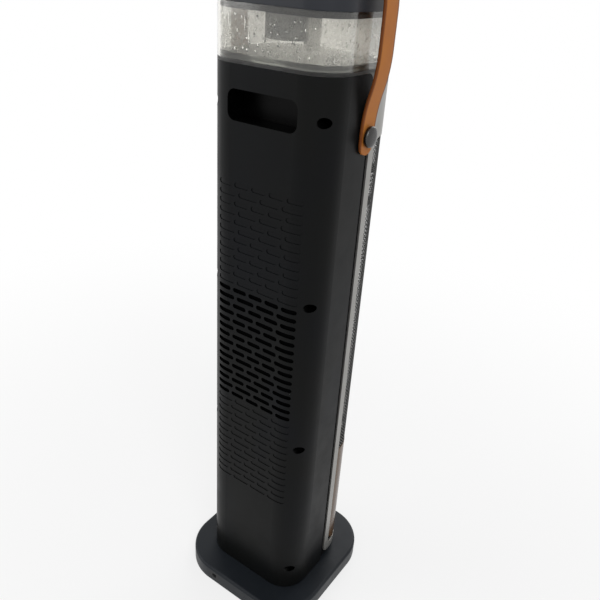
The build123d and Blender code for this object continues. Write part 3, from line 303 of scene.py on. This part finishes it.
def slot_shade_mask(graph):
    """Mask of painted shade: 0 at the tower's outer skin, 1 deep in a slot or well, measured from the middles of
    its rear corners.
    """
    corner = (BODY_HALF - REAR_CORNER, BODY_REAR - REAR_CORNER, 0)
    beside = graph.calc_vector("MULTIPLY", graph.calc_vector("ABSOLUTE", graph.place()), (1, 1, 0))
    beyond = graph.calc_vector("MAXIMUM", graph.calc_vector("SUBTRACT", beside, corner), (0, 0, 0))
    reach = graph.calc_vector("LENGTH", beyond)
    return graph.rise(reach, REAR_CORNER - SLOT_SHADE_START, REAR_CORNER - SLOT_SHADE_FULL)


def cover_finish():
    """Satin black plastic of the rear cover, a little bluer in places, painted nearly black inside its slots as
    painted shade.
    """
    material, graph, shader = new_material("cover_plastic")
    slow = graph.grain(5.0, 3.0, stretch=(1, 1, 0.6))
    smear = graph.grain(38.0, 6.0, 0.6)
    fine = graph.grain(2200.0, 2.0)
    skin = graph.ramp(
        slow,
        [
            (0.28, (0.0036, 0.0042, 0.0056)),
            (0.50, (0.0048, 0.0050, 0.0048)),
            (0.74, (0.0032, 0.0044, 0.0084)),
        ],
    )
    # Deep in slots, wells and the handle recess the colour goes nearly black: painted shade.
    graph.give(
        shader,
        Base_Color=graph.blend(slot_shade_mask(graph), skin, (0.0005, 0.0005, 0.0005, 1)),
        Roughness=graph.remap(smear, 0.31, 0.41),
    )
    shader.inputs["Specular IOR Level"].default_value = 0.085
    graph.bump(shader, fine, 0.22, 0.05 * MM)
    return material


def leather_finish():
    """Tan leather: pebbled grain, warm drift in colour, darker burnished edges."""
    material, graph, shader = new_material("strap_leather")
    slow = graph.grain(22.0, 5.0, 0.6)
    fine = graph.grain(1500.0, 6.0, 0.7)
    pores = graph.add("ShaderNodeTexVoronoi", Vector=graph.place(), Scale=900.0)
    tan = graph.ramp(
        slow,
        [
            (0.25, (0.350, 0.112, 0.018)),
            (0.50, (0.420, 0.146, 0.026)),
            (0.78, (0.475, 0.184, 0.038)),
        ],
    )
    across = graph.calc("ABSOLUTE", graph.calc("SUBTRACT", graph.along("Y"), STRAP_MIDDLE_Y))
    edge = graph.rise(across, STRAP_HALF_WIDTH - 3.6 * MM, STRAP_HALF_WIDTH - 0.8 * MM)
    graph.give(
        shader,
        Base_Color=graph.blend(edge, tan, (0.34, 0.26, 0.22, 1), "MULTIPLY"),
        Roughness=graph.remap(slow, 0.44, 0.60),
    )
    shader.inputs["Specular IOR Level"].default_value = 0.18
    pebbles = graph.bump(shader, pores.outputs["Distance"], 0.25, 0.12 * MM)
    graph.bump(shader, fine, 0.25, 0.06 * MM, pebbles)
    return material


def clear_finish():
    """Clear moulded plastic of the tank with faint flow waves, darkened at its floor as painted shade over bright
    inner reflections, and rougher there.
    """
    material, graph, shader = new_material("tank_clear")
    tint = (0.93, 0.92, 0.88)
    rough = 0.04
    floor_shade, floor_rough = 0.42, 0.435
    cloud = graph.grain(14.0)
    wave = graph.grain(55.0, 3.0, stretch=(1, 1, 0.35))
    height = graph.along("Z")
    bounds = (TANK_FLOOR - 1 * MM, TANK_FLOOR + 1 * MM)
    # Colour scaled down to 0.42 at the floor band: painted shade that hides bright reflections there.
    floor_shaded = graph.add(
        "ShaderNodeVectorMath",
        operation="SCALE",
        Vector=graph.drift(cloud, shade(tint, 0.95), shade(tint, 1.04)),
        Scale=graph.rise(height, *bounds, floor_shade, 1.0),
    )
    graph.give(
        shader,
        Base_Color=floor_shaded.outputs["Vector"],
        Roughness=graph.calc(
            "ADD", graph.remap(wave, rough, rough + 0.05), graph.rise(height, *bounds, floor_rough, 0.0)
        ),
    )
    shader.inputs["Transmission Weight"].default_value = 1.0
    shader.inputs["IOR"].default_value = 1.47
    graph.bump(shader, wave, 0.10, 0.4 * MM)
    return material


def film_finish():
    """Mist on the inside of the tank: a patchy white film, thicker in grains, thin in one clearing."""
    material, graph, shader = new_material("condensation")
    coarse = graph.grain(24.0, 5.0, 0.65)
    specks = graph.grain(900.0, 3.0, 0.7)
    thick = graph.calc("MULTIPLY", graph.remap(coarse, 0.16, 0.44), graph.remap(specks, 0.60, 1.30))
    offset = graph.calc_vector("ABSOLUTE", graph.calc_vector("SUBTRACT", graph.place(), CLEARING_MIDDLE))
    reach = graph.add("ShaderNodeSeparateXYZ", Vector=offset).outputs
    outside = [
        graph.rise(reach[axis], half - 2 * MM, half + 2 * MM) for axis, half in zip("XYZ", CLEARING_HALF)
    ]
    beyond = graph.calc("MAXIMUM", graph.calc("MAXIMUM", outside[0], outside[1]), outside[2])
    share = graph.add("ShaderNodeMapRange", Value=beyond, To_Min=0.4)
    graph.give(
        shader,
        Base_Color=(0.95, 0.94, 0.90, 1),
        Roughness=0.6,
        Alpha=graph.calc("MULTIPLY", thick, share.outputs["Result"], use_clamp=True),
    )
    graph.bump(shader, specks, 0.6, 0.3 * MM)
    return material


def water_finish(name, tint, rough):
    """Water with a slow ripple, more or less tinted."""
    material, graph, shader = new_material(name)
    graph.give(shader, Base_Color=(*tint, 1), Roughness=rough)
    shader.inputs["Transmission Weight"].default_value = 1.0
    shader.inputs["IOR"].default_value = 1.33
    graph.bump(shader, graph.grain(45.0, 2.0), 0.35, 0.8 * MM)
    return material


def board_finish():
    """Circuit board lacquer with a fine pattern of tracks."""
    material, graph, shader = new_material("board_green")
    tracks = graph.add(
        "ShaderNodeTexBrick",
        Vector=graph.place(),
        Scale=160.0,
        Mortar_Size=0.03,
        Color1=(0.012, 0.075, 0.030, 1),
        Color2=(0.016, 0.095, 0.036, 1),
        Mortar=(0.05, 0.17, 0.07, 1),
    )
    graph.give(shader, Base_Color=tracks.outputs["Color"], Roughness=0.35)
    graph.bump(shader, tracks.outputs["Fac"], 0.3, 0.1 * MM)
    return material


def mesh_finish():
    """Black lacquered wire mesh, with a painted highlight on the crown of each row of wires and painted shade
    between rows.
    """
    material, graph, shader = new_material("grille_black")
    # A wave texture has 20 cycles in 2 pi metres at scale 1.
    wave_scale = 2 * math.pi / (20 * MESH_PITCH / 2)
    rows = graph.add(
        "ShaderNodeTexWave", wave_type="BANDS", bands_direction="Z", Vector=graph.place(), Scale=wave_scale
    ).outputs["Fac"]
    # The wave bands paint each row bright at its crown and dark between rows: painted highlight and painted shade.
    graph.give(
        shader,
        Metallic=1.0,
        Base_Color=graph.ramp(rows, [(0.25, (0.004, 0.004, 0.004)), (0.85, (0.150, 0.150, 0.146))]),
        Roughness=graph.remap(graph.grain(40.0), 0.28, 0.40),
    )
    graph.bump(shader, rows, 0.6, 0.4 * MM)
    return material


def silver_finish():
    """Silver paint: fine metal flake under a satin coat."""
    material, graph, shader = new_material("frame_silver")
    slow = graph.grain(11.0)
    flake = graph.grain(3200.0, 2.0)
    graph.give(
        shader,
        Metallic=0.75,
        Base_Color=graph.drift(slow, (0.280, 0.276, 0.262), (0.335, 0.330, 0.315)),
        Roughness=graph.remap(flake, 0.34, 0.46),
    )
    graph.bump(shader, flake, 0.18, 0.04 * MM)
    return material


MOULDED = {
    "stand_plastic": dict(
        colour=(0.0105, 0.0130, 0.0165), rough=0.40, cycles=2000, texture=0.3, spread=0.15, gloss=0.18
    ),
    "cap_plastic": dict(
        colour=(0.0135, 0.0155, 0.0210), rough=0.34, cycles=2400, texture=0.2, spread=0.15, gloss=0.32
    ),
    "panel_gloss": dict(colour=(0.085, 0.042, 0.015), rough=0.22, cycles=300, texture=0.04, gloss=0.2),
    "button_gloss": dict(colour=(0.020, 0.022, 0.028), rough=0.22, cycles=1800, texture=0.08),
    "neck_plastic": dict(colour=(0.030, 0.036, 0.048), rough=0.42, cycles=1500, texture=0.2),
    "rubber_black": dict(colour=(0.017, 0.017, 0.018), rough=0.72, cycles=900, texture=0.4),
    "gear_plastic": dict(colour=(0.66, 0.64, 0.57), rough=0.38, cycles=1200, texture=0.15),
    "inner_plastic": dict(colour=(0.0040, 0.0040, 0.0044), rough=0.60, cycles=1500, texture=0.3, gloss=0.06),
    # Filter: black, and set nearly black with almost no gloss as painted shade in the slots in front of it.
    "filter_mesh": dict(
        colour=(0.0012, 0.0012, 0.0014), rough=0.9, cycles=500, texture=0.6, spread=0.2, gloss=0.02
    ),
}
METALS = {
    "stud_metal": dict(colour=(0.062, 0.061, 0.060), rough=0.26),
    "steel": dict(colour=(0.52, 0.52, 0.53), rough=0.32),
    "iron": dict(colour=(0.18, 0.18, 0.19), rough=0.55),
    "brass": dict(colour=(0.62, 0.46, 0.20), rough=0.34),
    "aluminium": dict(colour=(0.66, 0.67, 0.68), rough=0.38, brushed=(8, 8, 1)),
    "bar_casing": dict(colour=(0.60, 0.58, 0.54), rough=0.42, brushed=(8, 8, 1)),
    "motor_steel": dict(colour=(0.38, 0.38, 0.39), rough=0.36, brushed=(1, 1, 8)),
}
finishes = {
    "cover_plastic": cover_finish(),
    "frame_silver": silver_finish(),
    "grille_black": mesh_finish(),
    "tank_clear": clear_finish(),
    "strap_leather": leather_finish(),
    "board_green": board_finish(),
}
finishes.update({name: moulded(name, **look) for name, look in MOULDED.items()})
finishes.update({name: metal(name, **look) for name, look in METALS.items()})
condensation = film_finish()
drop_water = water_finish("water", (0.95, 0.97, 0.95), 0.03)
pool_water = water_finish("pool_water", (0.42, 0.43, 0.40), 0.30)

for node_name, node in nodes.items():
    node.data.materials.clear()
    node.data.materials.append(finishes[slot_of[node_name]])


# Geometry helpers

def piece_from(name, verts, faces, material, smooth=True):
    """New mesh object from points and faces."""
    mesh = bpy.data.meshes.new(name)
    mesh.from_pydata([tuple(v) for v in verts], [], faces)
    mesh.validate()
    mesh.materials.append(material)
    piece = bpy.data.objects.new(name, mesh)
    bpy.context.collection.objects.link(piece)
    for polygon in mesh.polygons:
        polygon.use_smooth = smooth
    return piece


def outward(piece):
    """Faces of a closed piece turned to look outwards."""
    shape = bmesh.new()
    shape.from_mesh(piece.data)
    bmesh.ops.recalc_face_normals(shape, faces=shape.faces)
    shape.to_mesh(piece.data)
    shape.free()


def sharpen(mesh, angle):
    """Smooth shading that breaks at edges sharper than angle, in degrees."""
    shape = bmesh.new()
    shape.from_mesh(mesh)
    for face in shape.faces:
        face.smooth = True
    for edge in shape.edges:
        if len(edge.link_faces) == 2:
            edge.smooth = edge.calc_face_angle(0) < math.radians(angle)
    shape.to_mesh(mesh)
    shape.free()


def apply_modifiers(piece):
    """Modifiers worked into the mesh."""
    graph = bpy.context.evaluated_depsgraph_get()
    mesh = bpy.data.meshes.new_from_object(piece.evaluated_get(graph))
    old = piece.data
    piece.modifiers.clear()
    piece.data = mesh
    bpy.data.meshes.remove(old)


def eased(node_name, body, width):
    """Copy of a CAD node with its sharp edges eased by width, which stands for the node."""
    seam = 0.002 * MM
    flat_angle, bevel_angle, crease_angle = 0.4, 35.0, 32.0
    shape = bmesh.new()
    shape.from_mesh(nodes[node_name].data)
    bmesh.ops.remove_doubles(shape, verts=shape.verts, dist=seam)
    bmesh.ops.dissolve_limit(
        shape, angle_limit=math.radians(flat_angle), verts=shape.verts, edges=shape.edges
    )
    mesh = bpy.data.meshes.new(node_name + "_eased")
    shape.to_mesh(mesh)
    shape.free()
    piece = bpy.data.objects.new(node_name + "_eased", mesh)
    bpy.context.collection.objects.link(piece)
    mesh.materials.append(finishes[slot_of[node_name]])
    edge = piece.modifiers.new("edge", "BEVEL")
    edge.width = width
    edge.segments = 2
    edge.limit_method = "ANGLE"
    edge.angle_limit = math.radians(bevel_angle)
    edge.use_clamp_overlap = True
    apply_modifiers(piece)
    sharpen(piece.data, crease_angle)
    # Large faces stay flat in shading, and the eased edges take the turn.
    weights = piece.modifiers.new("weights", "WEIGHTED_NORMAL")
    weights.mode = "FACE_AREA"
    weights.weight = 100
    weights.keep_sharp = True
    apply_modifiers(piece)
    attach(piece, body)
    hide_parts(node_name)
    return piece


def band_faces(count, rows, closed=False):
    """Quads between rows of count points, each row a loop, and from the last row to the first if closed."""
    faces = []
    for row in range(rows if closed else rows - 1):
        low, high = row * count, (row + 1) % rows * count
        for i in range(count):
            j = (i + 1) % count
            faces.append((low + i, low + j, high + j, high + i))
    return faces


def end_faces(count, rows):
    """One face over the first row of a band and one over the last."""
    last = (rows - 1) * count
    return [tuple(reversed(range(count))), tuple(range(last, last + count))]


def arc(centre, radius, start, end, steps):
    """Points on an arc in plan, angles in degrees."""
    angles = [math.radians(start + (end - start) * i / steps) for i in range(steps + 1)]
    return [(centre[0] + radius * math.cos(a), centre[1] + radius * math.sin(a)) for a in angles]


def plan_outline(inset, corner_steps):
    """Closed plan outline of the tower, drawn in by inset, anticlockwise from the rear right corner."""
    rear_x, rear_y = BODY_HALF - REAR_CORNER, BODY_REAR - REAR_CORNER
    front_x, front_y = BODY_HALF - FRONT_CORNER, BODY_FRONT + FRONT_CORNER
    points = arc((rear_x, rear_y), REAR_CORNER - inset, 0, 90, corner_steps)
    points += arc((-rear_x, rear_y), REAR_CORNER - inset, 90, 180, corner_steps)
    points += arc((-front_x, front_y), FRONT_CORNER - inset, 180, 270, corner_steps)
    points += arc((front_x, front_y), FRONT_CORNER - inset, 270, 360, corner_steps)
    return points


def walk(points, step):
    """Points at an even step along an open line in plan."""
    lengths = [0.0]
    for a, b in zip(points, points[1:]):
        lengths.append(lengths[-1] + math.dist(a, b))
    count = max(2, round(lengths[-1] / step))
    result = []
    at = 0
    for i in range(count + 1):
        target = lengths[-1] * i / count
        while at < len(points) - 2 and lengths[at + 1] < target:
            at += 1
        part = (target - lengths[at]) / (lengths[at + 1] - lengths[at])
        a, b = points[at], points[at + 1]
        result.append((a[0] + (b[0] - a[0]) * part, a[1] + (b[1] - a[1]) * part))
    return result


# Camera, floor and light

def make_camera():
    """Camera at the photograph's place, turned by azimuth, pitch and roll."""
    azimuth, pitch, roll = (math.radians(v) for v in (CAMERA_AZIMUTH, CAMERA_PITCH, CAMERA_ROLL))
    look = Vector((-math.sin(azimuth) * math.cos(pitch), math.cos(azimuth) * math.cos(pitch), -math.sin(pitch)))
    right = look.cross(Vector((0, 0, 1))).normalized()
    up = right.cross(look)
    rolled_right = math.cos(roll) * right + math.sin(roll) * up
    rolled_up = -math.sin(roll) * right + math.cos(roll) * up
    data = bpy.data.cameras.new("camera")
    data.lens = CAMERA_LENS
    data.sensor_width = SENSOR_WIDTH
    data.clip_start = 0.01
    camera = bpy.data.objects.new("camera", data)
    bpy.context.collection.objects.link(camera)
    turn = Matrix((rolled_right, rolled_up, -look)).transposed().to_4x4()
    camera.matrix_world = Matrix.Translation(CAMERA_PLACE) @ turn
    bpy.context.scene.camera = camera


def make_floor():
    """Pale floor: mostly its own white where it is looked at, with the object's shadow on it."""
    material = bpy.data.materials.new("floor")
    material.use_nodes = True
    material.node_tree.nodes.clear()
    graph = Graph(material.node_tree)
    distance = graph.calc_vector("LENGTH", graph.place())
    white_share = graph.rise(distance, FLOOR_FADE_START, FLOOR_FADE_END, FLOOR_WHITE_NEAR, 1.0)
    plain = graph.add("ShaderNodeBsdfDiffuse", Color=(FLOOR_GREY, FLOOR_GREY, FLOOR_GREY, 1))
    white = graph.add("ShaderNodeEmission", Strength=WORLD_SEEN)
    mix = graph.add("ShaderNodeMixShader", Fac=graph.calc("MULTIPLY", graph.looked_at(), white_share))
    graph.feed(mix.inputs[1], plain.outputs["BSDF"])
    graph.feed(mix.inputs[2], white.outputs["Emission"])
    graph.add("ShaderNodeOutputMaterial", Surface=mix.outputs["Shader"])
    corners = [(x * FLOOR_HALF, y * FLOOR_HALF, 0) for x, y in ((-1, -1), (1, -1), (1, 1), (-1, 1))]
    floor = piece_from("floor", corners, [(0, 1, 2, 3)], material, False)


def make_world():
    """Even white surroundings, full white where they are looked at and weaker where they light the object."""
    world = bpy.data.worlds.new("world")
    bpy.context.scene.world = world
    world.use_nodes = True
    graph = Graph(world.node_tree)
    strength = graph.add(
        "ShaderNodeMapRange", Value=graph.looked_at(), To_Min=WORLD_LIGHT, To_Max=WORLD_SEEN
    )
    background = world.node_tree.nodes["Background"]
    graph.give(background, Color=(1.0, 1.0, 1.0, 1), Strength=strength.outputs["Result"])


def make_lamp(name, place, target, size, power):
    """Soft rectangular lamp that looks at target."""
    data = bpy.data.lights.new(name, "AREA")
    data.shape = "RECTANGLE"
    data.size, data.size_y = size
    data.energy = power
    lamp = bpy.data.objects.new(name, data)
    bpy.context.collection.objects.link(lamp)
    lamp.location = place
    lamp.rotation_mode = "QUATERNION"
    lamp.rotation_quaternion = (Vector(target) - Vector(place)).to_track_quat("-Z", "Y")


# Carry strap

def strap_path():
    """Middle line of the strap in the XZ plane, from one tail to the other.

    Each row is (x, z, lean), where lean is how far the strap's outer side is turned down from level.
    """
    arch_r = strap_high.x - STRAP_THICK / 2
    arch_z = strap_high.z - strap_high.x
    foot_x = washer_high.x + STRAP_GAP + STRAP_THICK / 2
    tail = strap_low.z
    bend_low = STUD_Z + STRAP_FLAT
    bend_high = bend_low + STRAP_RISE
    # The bow outwards is two equal arcs, one after the other, that leave and end upright.
    turn = 2 * math.atan((arch_r - foot_x) / STRAP_RISE)
    bow_r = STRAP_RISE / 2 / math.sin(turn)
    steps = 16
    shares = [i / steps for i in range(steps)]
    half = [(foot_x, tail + (bend_low - tail) * share, 0.0) for share in shares]
    for lean in (turn * share for share in shares):
        half.append((foot_x + bow_r * (1 - math.cos(lean)), bend_low + bow_r * math.sin(lean), lean))
    for lean in (turn * (1 - share) for share in shares):
        half.append((arch_r - bow_r * (1 - math.cos(lean)), bend_high - bow_r * math.sin(lean), lean))
    half += [(arch_r, bend_high + (arch_z - bend_high) * share, 0.0) for share in shares]
    arch_steps = 72
    arch = []
    for angle in (math.pi * i / arch_steps for i in range(arch_steps + 1)):
        arch.append((arch_r * math.cos(angle), arch_z + arch_r * math.sin(angle), -angle))
    return half + arch + [(-x, z, math.pi - lean) for x, z, lean in reversed(half)]


def strap_section():
    """Cross-section with round edges and a slight crown.

    Points are (across, out), as shares of half the width and half the thickness.
    """
    edge, edge_steps = 0.07, 10
    crown, crown_steps = 0.05, 6
    points = []
    for side, start in ((1, -90), (-1, 90)):
        for i in range(edge_steps + 1):
            angle = math.radians(start + 180 * i / edge_steps)
            points.append((side * (1 - edge) + edge * math.cos(angle), math.sin(angle)))
        for i in range(1, crown_steps):
            across = side * (1 - edge) * (1 - 2 * i / crown_steps)
            points.append((across, side * (1 + crown * (1 - across * across))))
    return points


def make_strap():
    """Leather strap as one closed band with rounded tails and a hole for each stud."""
    path = strap_path()
    section = strap_section()
    # Half the thickness at the edges, which leaves room for the crown
    half_thick = STRAP_THICK / 2 * 0.955
    tail_half_width = 1.2 * MM
    lengths = [0.0]
    for a, b in zip(path, path[1:]):
        lengths.append(lengths[-1] + math.dist(a[:2], b[:2]))
    verts = []
    for (x, z, lean), run in zip(path, lengths):
        from_end = min(run, lengths[-1] - run)
        reach = max(0.0, STRAP_END_R - from_end)
        rounded = STRAP_HALF_WIDTH - STRAP_END_R + math.sqrt(max(0.0, STRAP_END_R**2 - reach**2))
        half_width = max(rounded, tail_half_width)
        for across, out in section:
            away = out * half_thick
            verts.append(
                (x + math.cos(lean) * away, STRAP_MIDDLE_Y + across * half_width, z - math.sin(lean) * away)
            )
    faces = band_faces(len(section), len(path)) + end_faces(len(section), len(path))
    strap = piece_from("strap_band", verts, faces, finishes["strap_leather"])
    outward(strap)
    hole_gap = 0.06 * MM
    bpy.ops.mesh.primitive_cylinder_add(
        vertices=48,
        radius=SHANK_R + hole_gap,
        depth=4 * strap_high.x,
        location=(0, STUD_Y, STUD_Z),
        rotation=(0, math.pi / 2, 0),
    )
    drill = bpy.context.object
    cut = strap.modifiers.new("holes", "BOOLEAN")
    cut.operation = "DIFFERENCE"
    cut.solver = "EXACT"
    cut.object = drill
    apply_modifiers(strap)
    bpy.data.objects.remove(drill)
    sharpen(strap.data, 40.0)
    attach(strap, "strap")
    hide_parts("carry_strap")


# Studs

def make_knobs():
    """Stud heads with a plain dome and a straight rim, on their shanks."""
    face_x = knob_high.x - STUD_HEAD
    rim_x = knob_high.x - STUD_DOME
    profile = [
        (SHANK_R, washer_high.x - SHANK_DEPTH),
        (SHANK_R, face_x),
        (STUD_R - 0.8 * MM, face_x),
        (STUD_R - 0.2 * MM, face_x + 0.3 * MM),
        (STUD_R, face_x + 1.0 * MM),
        (STUD_R, rim_x),
    ]
    # Below 1, the dome is fuller at its rim than an ellipse is.
    fullness = 0.7
    dome_steps = 8
    for angle in (math.pi / 2 * i / dome_steps for i in range(1, dome_steps)):
        profile.append((STUD_R * math.cos(angle) ** fullness, rim_x + STUD_DOME * math.sin(angle)))
    turns = 60
    verts = []
    faces = []
    for side in (1, -1):
        start = len(verts)
        for radius, x in profile:
            for angle in (2 * math.pi * i / turns for i in range(turns)):
                verts.append((side * x, STUD_Y + radius * math.cos(angle), STUD_Z + radius * math.sin(angle)))
        one = band_faces(turns, len(profile)) + end_faces(turns, len(profile))
        faces += [tuple(start + i for i in face) for face in one]
    knobs = piece_from("stud_heads", verts, faces, finishes["stud_metal"])
    outward(knobs)
    sharpen(knobs.data, 28.0)
    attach(knobs, "tower")
    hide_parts("strap_knobs")


# Outlet grille

def make_grille():
    """Fine wire mesh with diamond holes that wraps round the front, rounded at its top corners."""
    front_x, front_y = BODY_HALF - FRONT_CORNER, BODY_FRONT + FRONT_CORNER
    radius = FRONT_CORNER - MESH_INSET
    edge_x = BODY_HALF - MESH_INSET
    corner_steps = 24
    line = [(-edge_x, grille_high.y)]
    line += arc((-front_x, front_y), radius, 180, 270, corner_steps)
    line += arc((front_x, front_y), radius, 270, 360, corner_steps)
    line += [(edge_x, grille_high.y)]
    columns = walk(line, MESH_PITCH / 2)
    height = grille_high.z - grille_low.z
    rows = round(height / (MESH_PITCH / 2))
    step = height / rows
    index = {}
    verts = []

    def inside(column, z):
        from_side = min(column, len(columns) - 1 - column) * MESH_PITCH / 2
        from_top = grille_high.z - z
        if from_side < MESH_CORNER and from_top < MESH_CORNER:
            return math.hypot(MESH_CORNER - from_side, MESH_CORNER - from_top) <= MESH_CORNER
        return True

    def vertex(i, j):
        if (i, j) not in index:
            index[(i, j)] = len(verts)
            verts.append((*columns[i], grille_low.z + j * step))
        return index[(i, j)]

    faces = []
    for i in range(1, len(columns) - 1):
        for j in range(1, rows):
            if (i + j) % 2 == 0 and inside(i, grille_low.z + (j + 1) * step):
                faces.append((vertex(i - 1, j), vertex(i, j - 1), vertex(i + 1, j), vertex(i, j + 1)))
    grille = piece_from("grille_mesh", verts, faces, finishes["grille_black"], False)
    net = grille.modifiers.new("net", "WIREFRAME")
    net.thickness = MESH_WIRE
    net.use_even_offset = False
    net.use_boundary = True
    net.use_replace = True
    apply_modifiers(grille)
    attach(grille, "tower")
    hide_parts("front_grille")


# Water, condensation and drops in the tank

def make_water():
    """Shallow water on the tank floor with a rippled surface that climbs a little at the walls."""
    gap = 0.05 * MM
    ripple, waves_x, waves_y = 0.35 * MM, 210, 170
    climb, climb_power = 1.1 * MM, 24
    rings = 9
    outline = plan_outline(TANK_WALL + gap, corner_steps=10)
    verts = [(x, y, TANK_FLOOR + gap) for x, y in outline]
    for share in (1 - ring / rings for ring in range(rings)):
        for x, y in ((x * share, y * share) for x, y in outline):
            wave = ripple * math.sin(x * waves_x + 1.3) * math.cos(y * waves_y)
            verts.append((x, y, TANK_FLOOR + WATER_DEPTH + wave + climb * share**climb_power))
    faces = band_faces(len(outline), rings + 1) + end_faces(len(outline), rings + 1)
    pool = piece_from("tank_pool", verts, faces, pool_water)
    outward(pool)
    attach(pool, "tower")


def make_film():
    """Thin film of mist on the inside of the tank walls."""
    gap, thick = 1.2 * MM, 0.15 * MM
    outer = plan_outline(TANK_WALL + gap, corner_steps=14)
    inner = plan_outline(TANK_WALL + gap + thick, corner_steps=14)
    low, high = TANK_FLOOR + 6.5 * MM, TANK_TOP - 6 * MM
    rows = ((outer, low), (outer, high), (inner, high), (inner, low))
    verts = [(x, y, z) for outline, z in rows for x, y in outline]
    film = piece_from("mist_film", verts, band_faces(len(outer), len(rows), closed=True), condensation)
    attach(film, "tower")


def bead_shape():
    """Half-ball of size 1, with points as (along, up, out) and its faces."""
    sides, levels = 8, 3
    points = []
    for climb in (math.pi / 2 * level / levels for level in range(levels)):
        for angle in (2 * math.pi * side / sides for side in range(sides)):
            shrink = math.cos(climb)
            points.append((math.cos(angle) * shrink, math.sin(angle) * shrink, math.sin(climb)))
    points.append((0, 0, 1))
    crown = sides * levels
    last = crown - sides
    faces = band_faces(sides, levels)
    faces += [(last + side, last + (side + 1) % sides, crown) for side in range(sides)]
    faces.append(tuple(reversed(range(sides))))
    return points, faces


def make_drops():
    """Drops and short runs of water on the inside of the tank walls."""
    gap = 0.3 * MM
    outline = plan_outline(TANK_WALL + gap, corner_steps=18)
    outline.append(outline[0])
    places = walk(outline, 1.0 * MM)
    bead, bead_faces = bead_shape()
    low, high = TANK_FLOOR + 8 * MM, TANK_TOP - 9 * MM
    verts = []
    faces = []
    for _ in range(DROP_COUNT):
        i = random.randrange(len(places) - 1)
        here, there = Vector((*places[i], 0)), Vector((*places[i + 1], 0))
        along = (there - here).normalized()
        inwards = Vector((-along.y, along.x, 0))
        z = random.uniform(low, high)
        size = random.choice(DROP_SIZES)
        stretch = random.uniform(1.0, 1.5)
        if random.random() < RUN_CHANCE:
            size = RUN_SIZE
            stretch = random.uniform(4.0, 11.0)
        height = min(size * stretch, (high - low) / 2)
        middle = Vector((here.x, here.y, min(max(z, low + height), high - height)))
        faces += [tuple(len(verts) + k for k in face) for face in bead_faces]
        for side, rise, out in bead:
            point = middle + along * (side * size) + inwards * (out * size * DROP_BULGE)
            verts.append(point + Vector((0, 0, rise * height)))
    drops = piece_from("tank_drops", verts, faces, drop_water)
    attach(drops, "tower")


make_camera()
make_floor()
make_world()
make_lamp("key", (-1.6, 1.5, 2.2), (0, 0, 0.45), (1.6, 1.6), 30)
make_lamp("fill", (1.8, 1.2, 1.3), (0, 0, 0.4), (1.6, 1.6), 14)
make_lamp("front", (0.3, -2.0, 1.6), (0, 0, 0.45), (1.8, 1.4), 20)

make_strap()
make_knobs()
make_grille()
make_water()
make_film()
make_drops()
eased("base_shell", "stand", 0.6 * MM)
eased("front_frame", "tower", 0.5 * MM)
eased("lower_front_panel", "tower", 0.3 * MM)
eased("top_cap", "tower", 0.5 * MM)
eased("handle_cup", "tower", 0.4 * MM)

bpy.context.scene.view_settings.view_transform = "Standard"
